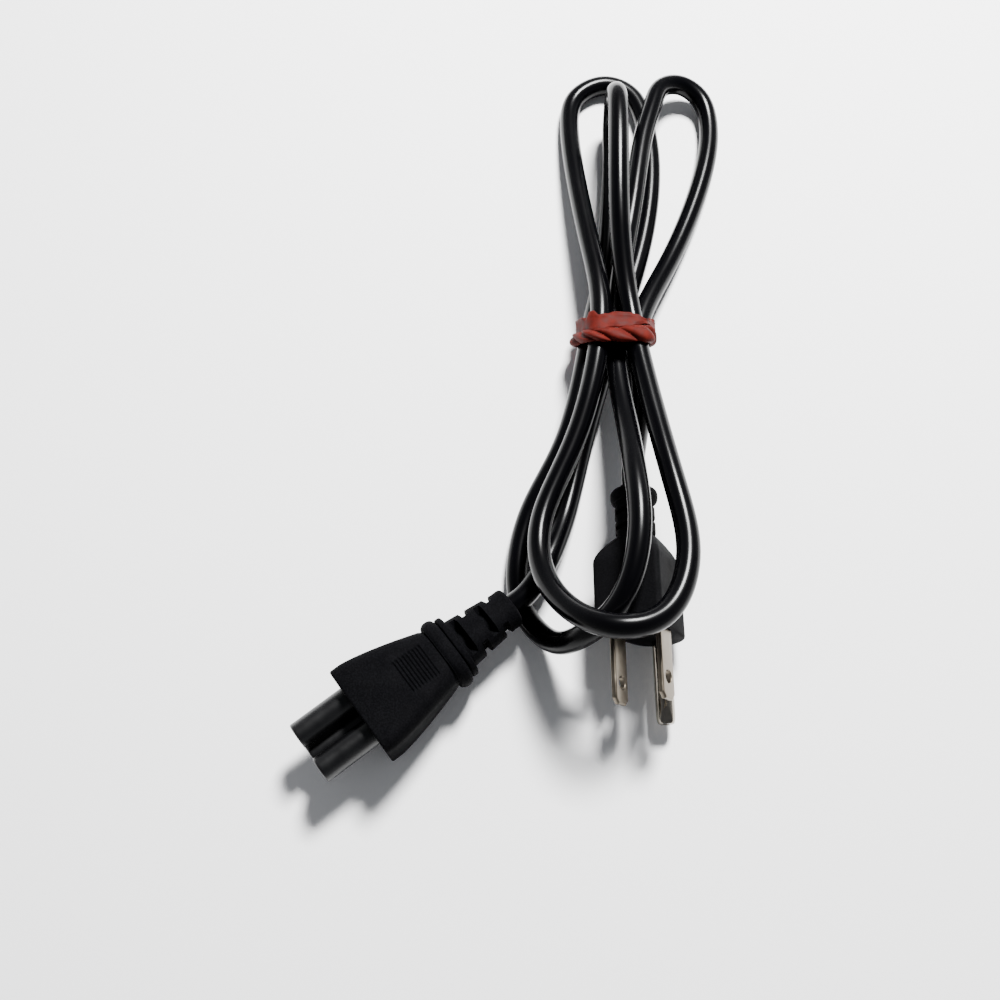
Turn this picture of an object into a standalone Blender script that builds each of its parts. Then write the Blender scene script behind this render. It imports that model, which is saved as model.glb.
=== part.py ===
"""Cloverleaf power cord, folded into a hank and tied at its middle with a rubber band.

A black three-core cord runs from a cloverleaf connector, through a hank of five folds, to a
grounded plug with two flat blades and a round ground pin. The cord lies on the plane z = 0, with
the connector and the plug resting on it. World axes: x to the right, y away from the plug's
blades and z up, in metres. The origin is on the floor, in the middle of the cord's outer box.
"""

import math

import bmesh
import bpy
import numpy as np
from mathutils import Matrix, Vector

MM = 0.001

# Clearance between neighbouring pieces
GAP = 0.3 * MM

# Mesh making: points nearer than this are welded, and flatter edges than this shade smooth
WELD = 0.001 * MM
SMOOTH_ANGLE = math.radians(35.0)
ARC_STEPS = 5
TURN_STEPS = 24

# Cord
CORD_DIAMETER = 6.0 * MM
CORD_SAMPLE_SPACING = 15.0 * MM
CORD_BEVEL_RESOLUTION = 3
LAYOUT_CENTRE = Vector((0.9, 1.0, 0.0)) * MM

# Connector grip: lengths run from the cord's exit towards the nose
CONNECTOR_YAW = math.radians(-52.5)
CONNECTOR_EXIT_X = -5.0 * MM
CONNECTOR_EXIT_Y = -67.0 * MM
RELIEF_LENGTH = 17.0 * MM
RELIEF_END_WIDTH = 10.0 * MM
RELIEF_END_HEIGHT = 9.6 * MM
RELIEF_ROOT_WIDTH = 13.6 * MM
RELIEF_ROOT_HEIGHT = 11.6 * MM
RELIEF_RING = 3.0 * MM
RELIEF_SLOT_WIDTH = 2.0 * MM
RELIEF_SLOT_COUNT = 4
RELIEF_CORE = 7.4 * MM
OVAL_CORNER_SHARE = 0.42
COLLAR_LENGTH = 5.4 * MM
COLLAR_WIDTH = 18.8 * MM
COLLAR_HEIGHT = 13.6 * MM
COLLAR_GROOVE = 0.8 * MM
GRIP_LENGTH = 24.6 * MM
GRIP_REAR_WIDTH = 15.6 * MM
GRIP_REAR_HEIGHT = 12.6 * MM
GRIP_FACE_WIDTH = 24.6 * MM
GRIP_FACE_HEIGHT = 18.6 * MM
GRIP_WIDTH_POWER = 1.7
GRIP_HEIGHT_POWER = 2.0
GRIP_CORNER = 3.2 * MM
GRIP_REAR_CORNER = 4.4 * MM
GRIP_EDGE = 0.5 * MM
GRIP_FLAT_LENGTH = 6.0 * MM
GRIP_STEPS = 8
RIDGE_COUNT = 9
RIDGE_PITCH = 0.95 * MM
RIDGE_GROOVE = 0.45 * MM
RIDGE_DEPTH = 0.35 * MM
RIDGE_LENGTH = 9.0 * MM
RIDGE_START = 3.2 * MM

# Connector nose: three round lobes, the earth lobe below and between the other two
NOSE_LENGTH = 15.0 * MM
NOSE_INSERT = 5.0 * MM
LOBE_RADIUS = 3.45 * MM
LOBE_SPACING = 10.0 * MM
LOBE_DROP = 5.0 * MM
LOBE_WEB = 3.2 * MM
LOBE_STEPS = 14
LOBE_VALLEY_STEPS = 3
SOCKET_BORE = 3.4 * MM
SOCKET_DEPTH = 12.0 * MM
CONTACT_WALL = 0.4 * MM
CONTACT_RECESS = 2.5 * MM
CONTACT_LENGTH = 8.0 * MM

# Plug body: lengths run from the cord's exit towards the blades
PLUG_ROLL = math.radians(34.5)
PLUG_EXIT_X = 27.2 * MM
PLUG_EXIT_Y = -36.1 * MM
FLANGE_LENGTH = 4.6 * MM
FLANGE_DIAMETER = 12.4 * MM
NECK_LENGTH = 10.4 * MM
NECK_DIAMETER = 10.4 * MM
NECK_CORE = 7.4 * MM
NECK_SLOT_WIDTH = 1.5 * MM
NECK_SLOT_COUNT = 5
SHOULDER_LENGTH = 6.4 * MM
SHOULDER_SHAPE = ((0.0, 0.1), (0.3, 0.42), (0.6, 0.76), (0.82, 0.94), (1.0, 1.0))
PLUG_BODY_LENGTH = 24.4 * MM
PLUG_WIDTH = 18.6 * MM
PLUG_TOP = 7.5 * MM
PLUG_CORNER = 1.6 * MM
PLUG_KEEL_DROP = 8.3 * MM
PLUG_KEEL_RADIUS = 7.4 * MM
PLUG_EDGE = 0.7 * MM
PLUG_SECTION_STEPS = 48

# Blades and ground pin
BLADE_LENGTH = 17.4 * MM
BLADE_WIDTH = 6.35 * MM
BLADE_THICKNESS = 1.52 * MM
BLADE_SPACING = 12.7 * MM
BLADE_RISE = 0.5 * MM
BLADE_HOLE = 3.2 * MM
BLADE_HOLE_FROM_FACE = 11.9 * MM
BLADE_TIP_CHAMFER = 1.5 * MM
TANG_LENGTH = 7.0 * MM
TANG_OVERLAP = 1.0 * MM
TANG_SHOULDER = 0.16 * MM
PIN_DIAMETER = 4.8 * MM
PIN_LENGTH = 21.0 * MM
PIN_DROP = 11.9 * MM
PIN_TIP_LENGTH = 4.2 * MM
PIN_TIP_DIAMETER = 3.0 * MM
PIN_END_DIAMETER = 2.4 * MM
PIN_END_EDGE = 0.3 * MM
PIN_TIP_STEPS = 5

# Rubber band: two wraps round the six strands
BAND_THICKNESS = 1.1 * MM
BAND_ROPE_THICKNESS = 2.0 * MM
BAND_WEB_THICKNESS = 0.7 * MM
BAND_WRAP_WIDTH = 5.6 * MM
BAND_WRAP_SPACING = 6.2 * MM
BAND_CLEARANCE = 0.45 * MM
BAND_FLAT_SHARE = 0.8
BAND_WAIST = 0.01 * MM
BAND_STEPS = 40

# Share of the core's thickness that a strain relief's slot spans
SLOT_SPAN = 1.1

CORD_RADIUS = CORD_DIAMETER / 2
CONNECTOR_EXIT_Z = GRIP_FACE_HEIGHT / 2
PLUG_EXIT_Z = PLUG_KEEL_RADIUS + PLUG_KEEL_DROP * math.cos(PLUG_ROLL)
GRIP_FACE_AT = RELIEF_LENGTH + COLLAR_LENGTH + GRIP_LENGTH
PLUG_FACE_AT = FLANGE_LENGTH + NECK_LENGTH + PLUG_BODY_LENGTH
LOBES = {
    "live": (-LOBE_SPACING / 2, LOBE_DROP / 2),
    "earth": (0.0, -LOBE_DROP / 2),
    "neutral": (LOBE_SPACING / 2, LOBE_DROP / 2),
}

# The six strands where the band holds them: x and z of each centre
BAND_Y = 14.4 * MM
STRAND_UNDER = (24.7, 4.4)
STRAND_LEFT = (18.1, 9.2)
STRAND_MIDDLE = (24.9, 10.8)
STRAND_RIGHT = (31.5, 9.2)
STRAND_TOP_LEFT = (20.3, 15.8)
STRAND_TOP_RIGHT = (29.1, 15.8)


def at_band(strand):
    """Give the route point where a strand passes through the band, in millimetres."""
    return (strand[0], BAND_Y / MM, strand[1])


# The cord's route between its two exits, in millimetres
ROUTE = [
    # over the lower fold and along the floor to the band
    (-1.4, -64.1, 9.6),
    (3.0, -57.6, 9.3),
    (6.4, -50.0, 7.4),
    (10.0, -39.0, 4.2),
    (15.2, -18.0, 3.2),
    at_band(STRAND_UNDER),
    # left upper loop, flat on the floor
    (35.5, 50.0, 3.3),
    (39.5, 80.0, 3.2),
    (37.8, 98.0, 3.2),
    (34.0, 107.0, 3.2),
    (26.0, 110.8, 3.2),
    (18.0, 107.0, 3.2),
    (14.4, 98.0, 3.3),
    (18.2, 45.0, 11.4),
    at_band(STRAND_TOP_LEFT),
    # upper fold of the lower end, lying on the plug
    (12.6, -21.0, 14.2),
    (3.5, -43.0, 14.0),
    (2.4, -58.0, 16.8),
    (7.8, -71.0, 24.6),
    (18.2, -78.4, 32.2),
    (30.5, -75.4, 31.2),
    (37.8, -60.0, 28.0),
    (36.0, -38.0, 25.0),
    at_band(STRAND_TOP_RIGHT),
    # middle upper loop, standing on edge
    (26.4, 45.0, 21.0),
    (27.2, 80.0, 24.3),
    (27.4, 91.6, 20.8),
    (27.5, 94.6, 13.0),
    (27.5, 90.6, 5.7),
    (27.2, 80.0, 3.2),
    (23.6, 43.0, 4.4),
    at_band(STRAND_LEFT),
    # lower fold of the lower end, leaning on the plug's left side
    (10.2, -19.0, 8.0),
    (0.6, -38.0, 3.5),
    (-3.4, -56.0, 3.3),
    (-1.6, -67.0, 3.3),
    (5.0, -76.0, 8.6),
    (12.0, -77.3, 18.2),
    (20.8, -71.0, 26.0),
    (26.2, -54.0, 28.4),
    (26.4, -36.0, 25.0),
    (25.8, -18.0, 17.6),
    at_band(STRAND_MIDDLE),
    # right upper loop, over the left one and down to the floor
    (32.0, 58.0, 10.4),
    (36.6, 84.0, 10.0),
    (40.4, 97.4, 9.5),
    (43.4, 104.6, 8.6),
    (49.8, 107.8, 6.6),
    (56.0, 104.8, 4.6),
    (58.6, 97.6, 3.5),
    (57.0, 80.0, 3.2),
    (43.0, 42.0, 4.4),
    at_band(STRAND_RIGHT),
    # straight into the plug
    (31.2, -6.0, 9.8),
    (27.5, -29.0, 13.9),
]


def clear_scene():
    """Remove every object that the file started with."""
    for item in list(bpy.data.objects):
        bpy.data.objects.remove(item, do_unlink=True)


def make_collection(name):
    """Make a collection in the scene and return it."""
    collection = bpy.data.collections.new(name)
    bpy.context.scene.collection.children.link(collection)
    return collection


def make_material(name, colour, roughness, metallic):
    """Make a Principled material from a linear colour, a roughness and a metallic value."""
    made = bpy.data.materials.new(name)
    made.use_nodes = True
    shader = made.node_tree.nodes["Principled BSDF"]
    shader.inputs["Base Color"].default_value = (*colour, 1.0)
    shader.inputs["Roughness"].default_value = roughness
    shader.inputs["Metallic"].default_value = metallic
    return made


def make_frame(name, collection, place, turn):
    """Make an empty that carries an end piece's own parts."""
    empty = bpy.data.objects.new(name, None)
    empty.matrix_world = Matrix.Translation(place) @ turn
    collection.objects.link(empty)
    return empty


def make_part(name, mesh, collection, material=None, frame=None, matrix=None):
    """Make a named object from a mesh, shaded smooth over its flatter edges, under its frame."""
    mesh.name = name
    mesh.shade_smooth()
    mesh.set_sharp_from_angle(angle=SMOOTH_ANGLE)
    made = bpy.data.objects.new(name, mesh)
    collection.objects.link(made)
    if material is not None:
        mesh.materials.append(material)
    if frame is not None:
        made.parent = frame
    if matrix is not None:
        made.matrix_local = matrix
    return made


def combine(target, tool, operation):
    """Add an exact Boolean with the tool object to the target."""
    modifier = target.modifiers.new(tool.name, "BOOLEAN")
    modifier.object = tool
    modifier.operation = operation
    modifier.solver = "EXACT"


def as_cutter(tool):
    """Show a cutter as a wire frame and keep it out of renders."""
    tool.hide_render = True
    tool.display_type = "WIRE"
    return tool


def section(width, height, top_corner, bottom_corner):
    """Give the outline of a box section with round corners, anticlockwise, as (x, z) pairs."""
    centres = (
        (width / 2 - bottom_corner, -height / 2 + bottom_corner, bottom_corner, -90),
        (width / 2 - top_corner, height / 2 - top_corner, top_corner, 0),
        (-width / 2 + top_corner, height / 2 - top_corner, top_corner, 90),
        (-width / 2 + bottom_corner, -height / 2 + bottom_corner, bottom_corner, 180),
    )
    outline = []
    for x, z, radius, start in centres:
        for step in range(ARC_STEPS + 1):
            angle = math.radians(start + 90 * step / ARC_STEPS)
            outline.append((x + radius * math.cos(angle), z + radius * math.sin(angle)))
    return outline


def loft(stations):
    """Skin a closed mesh through sections, each given with its distance from the cord's exit."""
    work = bmesh.new()
    rings = []
    for distance, outline in stations:
        rings.append([work.verts.new((x, -distance, z)) for x, z in outline])
    for near, far in zip(rings, rings[1:]):
        for i in range(len(near)):
            j = (i + 1) % len(near)
            work.faces.new((near[i], near[j], far[j], far[i]))
    work.faces.new(rings[0])
    work.faces.new(rings[-1])
    bmesh.ops.remove_doubles(work, verts=work.verts, dist=WELD)
    bmesh.ops.recalc_face_normals(work, faces=work.faces)
    mesh = bpy.data.meshes.new("loft")
    work.to_mesh(mesh)
    work.free()
    return mesh


def boxes(places):
    """Make one mesh of separate boxes, each given by its centre and its size."""
    work = bmesh.new()
    for centre, size in places:
        matrix = Matrix.Translation(centre) @ Matrix.Diagonal((*size, 1.0))
        bmesh.ops.create_cube(work, size=1.0, matrix=matrix)
    mesh = bpy.data.meshes.new("boxes")
    work.to_mesh(mesh)
    work.free()
    return mesh


def cylinders(places):
    """Make one mesh of separate cylinders along y, each given by centre, radius and length."""
    work = bmesh.new()
    for centre, radius, length in places:
        matrix = Matrix.Translation(centre) @ Matrix.Rotation(math.radians(90), 4, "X")
        bmesh.ops.create_cone(work, cap_ends=True, segments=TURN_STEPS, radius1=radius,
                              radius2=radius, depth=length, matrix=matrix)
    mesh = bpy.data.meshes.new("cylinders")
    work.to_mesh(mesh)
    work.free()
    return mesh


def curve_mesh(curve):
    """Turn a curve's evaluated shape into a mesh with its caps welded on."""
    carrier = bpy.data.objects.new("carrier", curve)
    bpy.context.scene.collection.objects.link(carrier)
    seen = carrier.evaluated_get(bpy.context.evaluated_depsgraph_get())
    mesh = bpy.data.meshes.new_from_object(seen)
    work = bmesh.new()
    work.from_mesh(mesh)
    bmesh.ops.remove_doubles(work, verts=work.verts, dist=WELD)
    bmesh.ops.recalc_face_normals(work, faces=work.faces)
    work.to_mesh(mesh)
    work.free()
    bpy.data.objects.remove(carrier, do_unlink=True)
    return mesh


def extrude_outlines(outlines, depth):
    """Extrude flat closed outlines, the first with the others as holes, evenly about z = 0."""
    curve = bpy.data.curves.new("outline", "CURVE")
    curve.dimensions = "2D"
    curve.fill_mode = "BOTH"
    curve.extrude = depth / 2
    for outline in outlines:
        spline = curve.splines.new("POLY")
        spline.points.add(len(outline) - 1)
        for point, (x, y) in zip(spline.points, outline):
            point.co = (x, y, 0.0, 1.0)
        spline.use_cyclic_u = True
    return curve_mesh(curve)


def turned(name, profile, collection, material, frame, matrix):
    """Turn a profile of (radius, height) pairs, listed from top to bottom, about its z axis."""
    mesh = bpy.data.meshes.new(name)
    points = [(radius, 0.0, height) for radius, height in profile]
    mesh.from_pydata(points, [(i, i + 1) for i in range(len(points) - 1)], [])
    made = make_part(name, mesh, collection, material, frame, matrix)
    screw = made.modifiers.new("turn", "SCREW")
    screw.steps = TURN_STEPS
    screw.render_steps = TURN_STEPS
    screw.use_merge_vertices = True
    screw.merge_threshold = WELD
    return made


def smooth_curve(points):
    """Read points from a natural cubic spline through the given ones, about evenly spaced."""
    knots = np.array(points)
    gaps = np.sqrt(np.linalg.norm(np.diff(knots, axis=0), axis=1))
    count = len(knots)
    system = np.zeros((count, count))
    wanted = np.zeros((count, 3))
    for i, gap in enumerate(gaps):
        lift = 3 * (knots[i + 1] - knots[i]) / gap ** 2
        system[i, i] += 2 / gap
        system[i, i + 1] += 1 / gap
        system[i + 1, i] += 1 / gap
        system[i + 1, i + 1] += 2 / gap
        wanted[i] += lift
        wanted[i + 1] += lift
    slopes = np.linalg.solve(system, wanted)
    read = []
    for i, gap in enumerate(gaps):
        steps = max(1, round(float(gap ** 2) / CORD_SAMPLE_SPACING))
        for step in range(steps):
            t = step / steps
            read.append((2 * t ** 3 - 3 * t ** 2 + 1) * knots[i]
                        + (t ** 3 - 2 * t ** 2 + t) * gap * slopes[i]
                        + (3 * t ** 2 - 2 * t ** 3) * knots[i + 1]
                        + (t ** 3 - t ** 2) * gap * slopes[i + 1])
    read.append(knots[-1])
    return read


def cord_samples():
    """Give the points of the cord's centre line, from the connector's exit to the plug's."""
    away = Matrix.Rotation(CONNECTOR_YAW, 3, "Z") @ Vector((0.0, GAP, 0.0))
    start = Vector((CONNECTOR_EXIT_X, CONNECTOR_EXIT_Y, CONNECTOR_EXIT_Z)) + away
    end = Vector((PLUG_EXIT_X, PLUG_EXIT_Y + GAP, PLUG_EXIT_Z))
    return smooth_curve([start] + [Vector(point) * MM for point in ROUTE] + [end])


def build_cord(samples, collection, material):
    """Make the cord as one tube from the connector's strain relief to the plug's."""
    curve = bpy.data.curves.new("cord", "CURVE")
    curve.dimensions = "3D"
    curve.bevel_depth = CORD_RADIUS
    curve.bevel_resolution = CORD_BEVEL_RESOLUTION
    curve.use_fill_caps = True
    spline = curve.splines.new("POLY")
    spline.points.add(len(samples) - 1)
    for point, place in zip(spline.points, samples):
        point.co = (*(Vector(place) - LAYOUT_CENTRE), 1.0)
    spline.use_smooth = True
    curve.materials.append(material)
    collection.objects.link(bpy.data.objects.new("cord", curve))


def grip_size(part):
    """Give the grip's width and height at a share of its length, from its rear to its face."""
    swell = 1 - (1 - part) ** GRIP_WIDTH_POWER
    rise = 1 - (1 - part) ** GRIP_HEIGHT_POWER
    width = GRIP_REAR_WIDTH + (GRIP_FACE_WIDTH - GRIP_REAR_WIDTH) * swell
    height = GRIP_REAR_HEIGHT + (GRIP_FACE_HEIGHT - GRIP_REAR_HEIGHT) * rise
    return width, height


def grip_top(distance):
    """Give the height of the grip's top above its axis, at a distance from its rear."""
    part = min(1.0, distance / (GRIP_LENGTH - GRIP_FLAT_LENGTH))
    return grip_size(part)[1] / 2


def connector_stations():
    """List the sections of the connector's moulding, from the cord's exit to the face."""
    def oval(width, height):
        corner = min(width, height) * OVAL_CORNER_SHARE
        return section(width, height, corner, corner)

    stations = [
        (0.0, oval(RELIEF_END_WIDTH - 2 * GRIP_EDGE, RELIEF_END_HEIGHT - 2 * GRIP_EDGE)),
        (GRIP_EDGE, oval(RELIEF_END_WIDTH, RELIEF_END_HEIGHT)),
        (RELIEF_RING, oval(RELIEF_END_WIDTH, RELIEF_END_HEIGHT)),
        (RELIEF_LENGTH, oval(RELIEF_ROOT_WIDTH, RELIEF_ROOT_HEIGHT)),
        (RELIEF_LENGTH, oval(COLLAR_WIDTH - 2 * GRIP_EDGE, COLLAR_HEIGHT - 2 * GRIP_EDGE)),
        (RELIEF_LENGTH + GRIP_EDGE, oval(COLLAR_WIDTH, COLLAR_HEIGHT)),
    ]
    collar_end = RELIEF_LENGTH + COLLAR_LENGTH
    stations.append((collar_end - COLLAR_GROOVE - GRIP_EDGE, oval(COLLAR_WIDTH, COLLAR_HEIGHT)))
    stations.append((collar_end - COLLAR_GROOVE,
                     oval(COLLAR_WIDTH - 2 * GRIP_EDGE, COLLAR_HEIGHT - 2 * GRIP_EDGE)))
    swelling = GRIP_LENGTH - GRIP_FLAT_LENGTH
    for step in range(GRIP_STEPS + 1):
        part = step / GRIP_STEPS
        width, height = grip_size(part)
        corner = GRIP_REAR_CORNER + (GRIP_CORNER - GRIP_REAR_CORNER) * part
        stations.append((collar_end + part * swelling, section(width, height, corner, corner)))
    face = section(GRIP_FACE_WIDTH, GRIP_FACE_HEIGHT, GRIP_CORNER, GRIP_CORNER)
    stations.append((GRIP_FACE_AT - GRIP_EDGE, face))
    stations.append((GRIP_FACE_AT, section(GRIP_FACE_WIDTH - 2 * GRIP_EDGE,
                                           GRIP_FACE_HEIGHT - 2 * GRIP_EDGE,
                                           GRIP_CORNER - GRIP_EDGE, GRIP_CORNER - GRIP_EDGE)))
    return stations


def relief_slots(first, last, count, slot, core, reach, start_sideways):
    """Give the boxes that cut a strain relief: pairs of slots, by turns beside and above."""
    places = []
    pitch = (last - first) / count
    depth = reach - core / 2
    for index in range(count):
        distance = first + (index + 0.5) * pitch
        sideways = (index % 2 == 0) == start_sideways
        for side in (-1, 1):
            offset = side * (core / 2 + depth / 2)
            if sideways:
                places.append(((offset, -distance, 0.0), (depth, slot, core * SLOT_SPAN)))
            else:
                places.append(((0.0, -distance, offset), (core * SLOT_SPAN, slot, depth)))
    return places


def lobe_outline(extra):
    """Give the cloverleaf outline of the nose, anticlockwise, grown by an extra clearance."""
    radius = LOBE_RADIUS + extra
    lean = math.degrees(math.atan2(LOBE_DROP, LOBE_SPACING / 2))
    half = math.degrees(math.asin((LOBE_WEB / 2 + extra) / radius))
    arcs = (
        ("live", -lean + half, 360 - lean - half, LOBE_STEPS),
        ("earth", 180 - lean + half, 360 + lean - half, LOBE_STEPS),
        ("neutral", 180 + lean + half, 540 + lean - half, LOBE_STEPS),
        ("earth", lean + half, 180 - lean - half, LOBE_VALLEY_STEPS),
    )
    outline = []
    for lobe, start, end, steps in arcs:
        x, z = LOBES[lobe]
        for step in range(steps + 1):
            angle = math.radians(start + (end - start) * step / steps)
            outline.append((x + radius * math.cos(angle), z + radius * math.sin(angle)))
    return outline


def along_axis(distance):
    """Give the matrix that stands an extrusion's z axis on the end piece's axis."""
    return Matrix.Translation((0.0, -distance, 0.0)) @ Matrix.Rotation(math.radians(90), 4, "X")


def build_connector(collection, cutters, black, brass):
    """Make the connector: moulded grip, cloverleaf nose and the three contact sleeves."""
    place = Vector((CONNECTOR_EXIT_X, CONNECTOR_EXIT_Y, CONNECTOR_EXIT_Z)) - LAYOUT_CENTRE
    frame = make_frame("connector_frame", collection, place,
                       Matrix.Rotation(CONNECTOR_YAW, 4, "Z"))
    grip = make_part("connector_grip", loft(connector_stations()), collection, black, frame)

    slots = relief_slots(RELIEF_RING, RELIEF_LENGTH, RELIEF_SLOT_COUNT, RELIEF_SLOT_WIDTH,
                         RELIEF_CORE, RELIEF_ROOT_WIDTH, True)
    combine(grip, as_cutter(make_part("relief_slots", boxes(slots), cutters, None, frame)),
            "DIFFERENCE")

    grooves = []
    for index in range(RIDGE_COUNT):
        distance = RIDGE_START + index * RIDGE_PITCH
        rise = grip_top(distance) - RIDGE_DEPTH
        along = -(RELIEF_LENGTH + COLLAR_LENGTH + distance)
        grooves.append(((0.0, along, rise + RIDGE_DEPTH * 2),
                        (RIDGE_LENGTH, RIDGE_GROOVE, RIDGE_DEPTH * 4)))
    combine(grip, as_cutter(make_part("ridge_grooves", boxes(grooves), cutters, None, frame)),
            "DIFFERENCE")

    pocket_depth = NOSE_INSERT + 2 * GAP
    pocket = make_part("nose_pocket", extrude_outlines([lobe_outline(GAP)], 2 * pocket_depth),
                       cutters, None, frame, along_axis(GRIP_FACE_AT))
    combine(grip, as_cutter(pocket), "DIFFERENCE")

    nose_total = NOSE_LENGTH + NOSE_INSERT
    nose = make_part("connector_nose", extrude_outlines([lobe_outline(0.0)], nose_total),
                     collection, black, frame,
                     along_axis(GRIP_FACE_AT + NOSE_LENGTH - nose_total / 2))
    tip = GRIP_FACE_AT + NOSE_LENGTH
    bores = [((x, -tip, z), SOCKET_BORE / 2, 2 * SOCKET_DEPTH) for x, z in LOBES.values()]
    combine(nose, as_cutter(make_part("sockets", cylinders(bores), cutters, None, frame)),
            "DIFFERENCE")

    outer = SOCKET_BORE / 2 - GAP
    inner = outer - CONTACT_WALL
    for lobe, (x, z) in LOBES.items():
        low, high = CONTACT_RECESS, CONTACT_RECESS + CONTACT_LENGTH
        profile = [(inner, high), (outer, high), (outer, low), (inner, low), (inner, high)]
        matrix = Matrix.Translation((x, -tip, z)) @ Matrix.Rotation(math.radians(-90), 4, "X")
        turned("contact_" + lobe, profile, collection, brass, frame, matrix)


def hull_section(circles):
    """Give the taut outline round circles (x, z, radius), with one point for each direction."""
    outline = []
    for step in range(PLUG_SECTION_STEPS):
        angle = math.radians(360 * step / PLUG_SECTION_STEPS)
        nx, nz = math.cos(angle), math.sin(angle)
        x, z, radius = max(circles, key=lambda c: c[0] * nx + c[1] * nz + c[2])
        outline.append((x + radius * nx, z + radius * nz))
    return outline


def plug_stations():
    """List the sections of the plug's moulding, from the cord's exit to the blades' face.

    The body is D-shaped: a flat top with two tight corners, and a round keel about the pin.
    """
    corner_x = PLUG_WIDTH / 2 - PLUG_CORNER
    corner_z = PLUG_TOP - PLUG_CORNER
    full = ((corner_x, corner_z, PLUG_CORNER), (-corner_x, corner_z, PLUG_CORNER),
            (0.0, -PLUG_KEEL_DROP, PLUG_KEEL_RADIUS))

    def disc(diameter):
        return hull_section([(0.0, 0.0, diameter / 2)])

    def body(share, inset=0.0):
        circles = []
        for x, z, radius in full:
            grown = NECK_DIAMETER / 2 + (radius - NECK_DIAMETER / 2) * share
            circles.append((x * share, z * share, grown - inset))
        return hull_section(circles)

    neck_start = FLANGE_LENGTH
    body_start = FLANGE_LENGTH + NECK_LENGTH
    stations = [
        (0.0, disc(FLANGE_DIAMETER - 2 * PLUG_EDGE)),
        (PLUG_EDGE, disc(FLANGE_DIAMETER)),
        (neck_start - PLUG_EDGE, disc(FLANGE_DIAMETER)),
        (neck_start, disc(FLANGE_DIAMETER - 2 * PLUG_EDGE)),
        (neck_start, disc(NECK_DIAMETER)),
        (body_start, disc(NECK_DIAMETER)),
    ]
    for along, share in SHOULDER_SHAPE:
        stations.append((body_start + along * SHOULDER_LENGTH, body(share)))
    stations.append((PLUG_FACE_AT - PLUG_EDGE, body(1.0)))
    stations.append((PLUG_FACE_AT, body(1.0, PLUG_EDGE)))
    return stations


def blade_outline():
    """Give a blade's side view as (y, z) pairs, its tip at the low end with cut corners."""
    half = BLADE_WIDTH / 2
    return [(-BLADE_LENGTH, -half + BLADE_TIP_CHAMFER), (-BLADE_LENGTH + BLADE_TIP_CHAMFER, -half),
            (-GAP, -half), (-GAP, half),
            (-BLADE_LENGTH + BLADE_TIP_CHAMFER, half), (-BLADE_LENGTH, half - BLADE_TIP_CHAMFER)]


def build_blade(name, x, collection, cutters, metal, frame):
    """Make one flat blade with its hole and the tang that the moulding holds."""
    matrix = (Matrix.Translation((x, -PLUG_FACE_AT, BLADE_RISE))
              @ Matrix(((0, 0, 1, 0), (1, 0, 0, 0), (0, 1, 0, 0), (0, 0, 0, 1))))
    blade = make_part(name, extrude_outlines([blade_outline()], BLADE_THICKNESS), collection,
                      metal, frame, matrix)
    length = TANG_LENGTH + TANG_OVERLAP
    thickness = BLADE_THICKNESS - 2 * TANG_SHOULDER
    width = BLADE_WIDTH - 2 * TANG_SHOULDER
    centre = (x, -PLUG_FACE_AT - GAP - TANG_OVERLAP + length / 2, BLADE_RISE)
    tang = make_part(name + "_tang", boxes([(centre, (thickness, length, width))]), cutters, None,
                     frame)
    combine(blade, as_cutter(tang), "UNION")
    work = bmesh.new()
    bmesh.ops.create_cone(work, cap_ends=True, segments=TURN_STEPS, radius1=BLADE_HOLE / 2,
                          radius2=BLADE_HOLE / 2, depth=BLADE_THICKNESS * 3,
                          matrix=Matrix.Rotation(math.radians(90), 4, "Y"))
    mesh = bpy.data.meshes.new(name + "_hole")
    work.to_mesh(mesh)
    work.free()
    hole_place = Matrix.Translation((x, -PLUG_FACE_AT - BLADE_HOLE_FROM_FACE, BLADE_RISE))
    hole = make_part(name + "_hole", mesh, cutters, None, frame, hole_place)
    combine(blade, as_cutter(hole), "DIFFERENCE")


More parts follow.
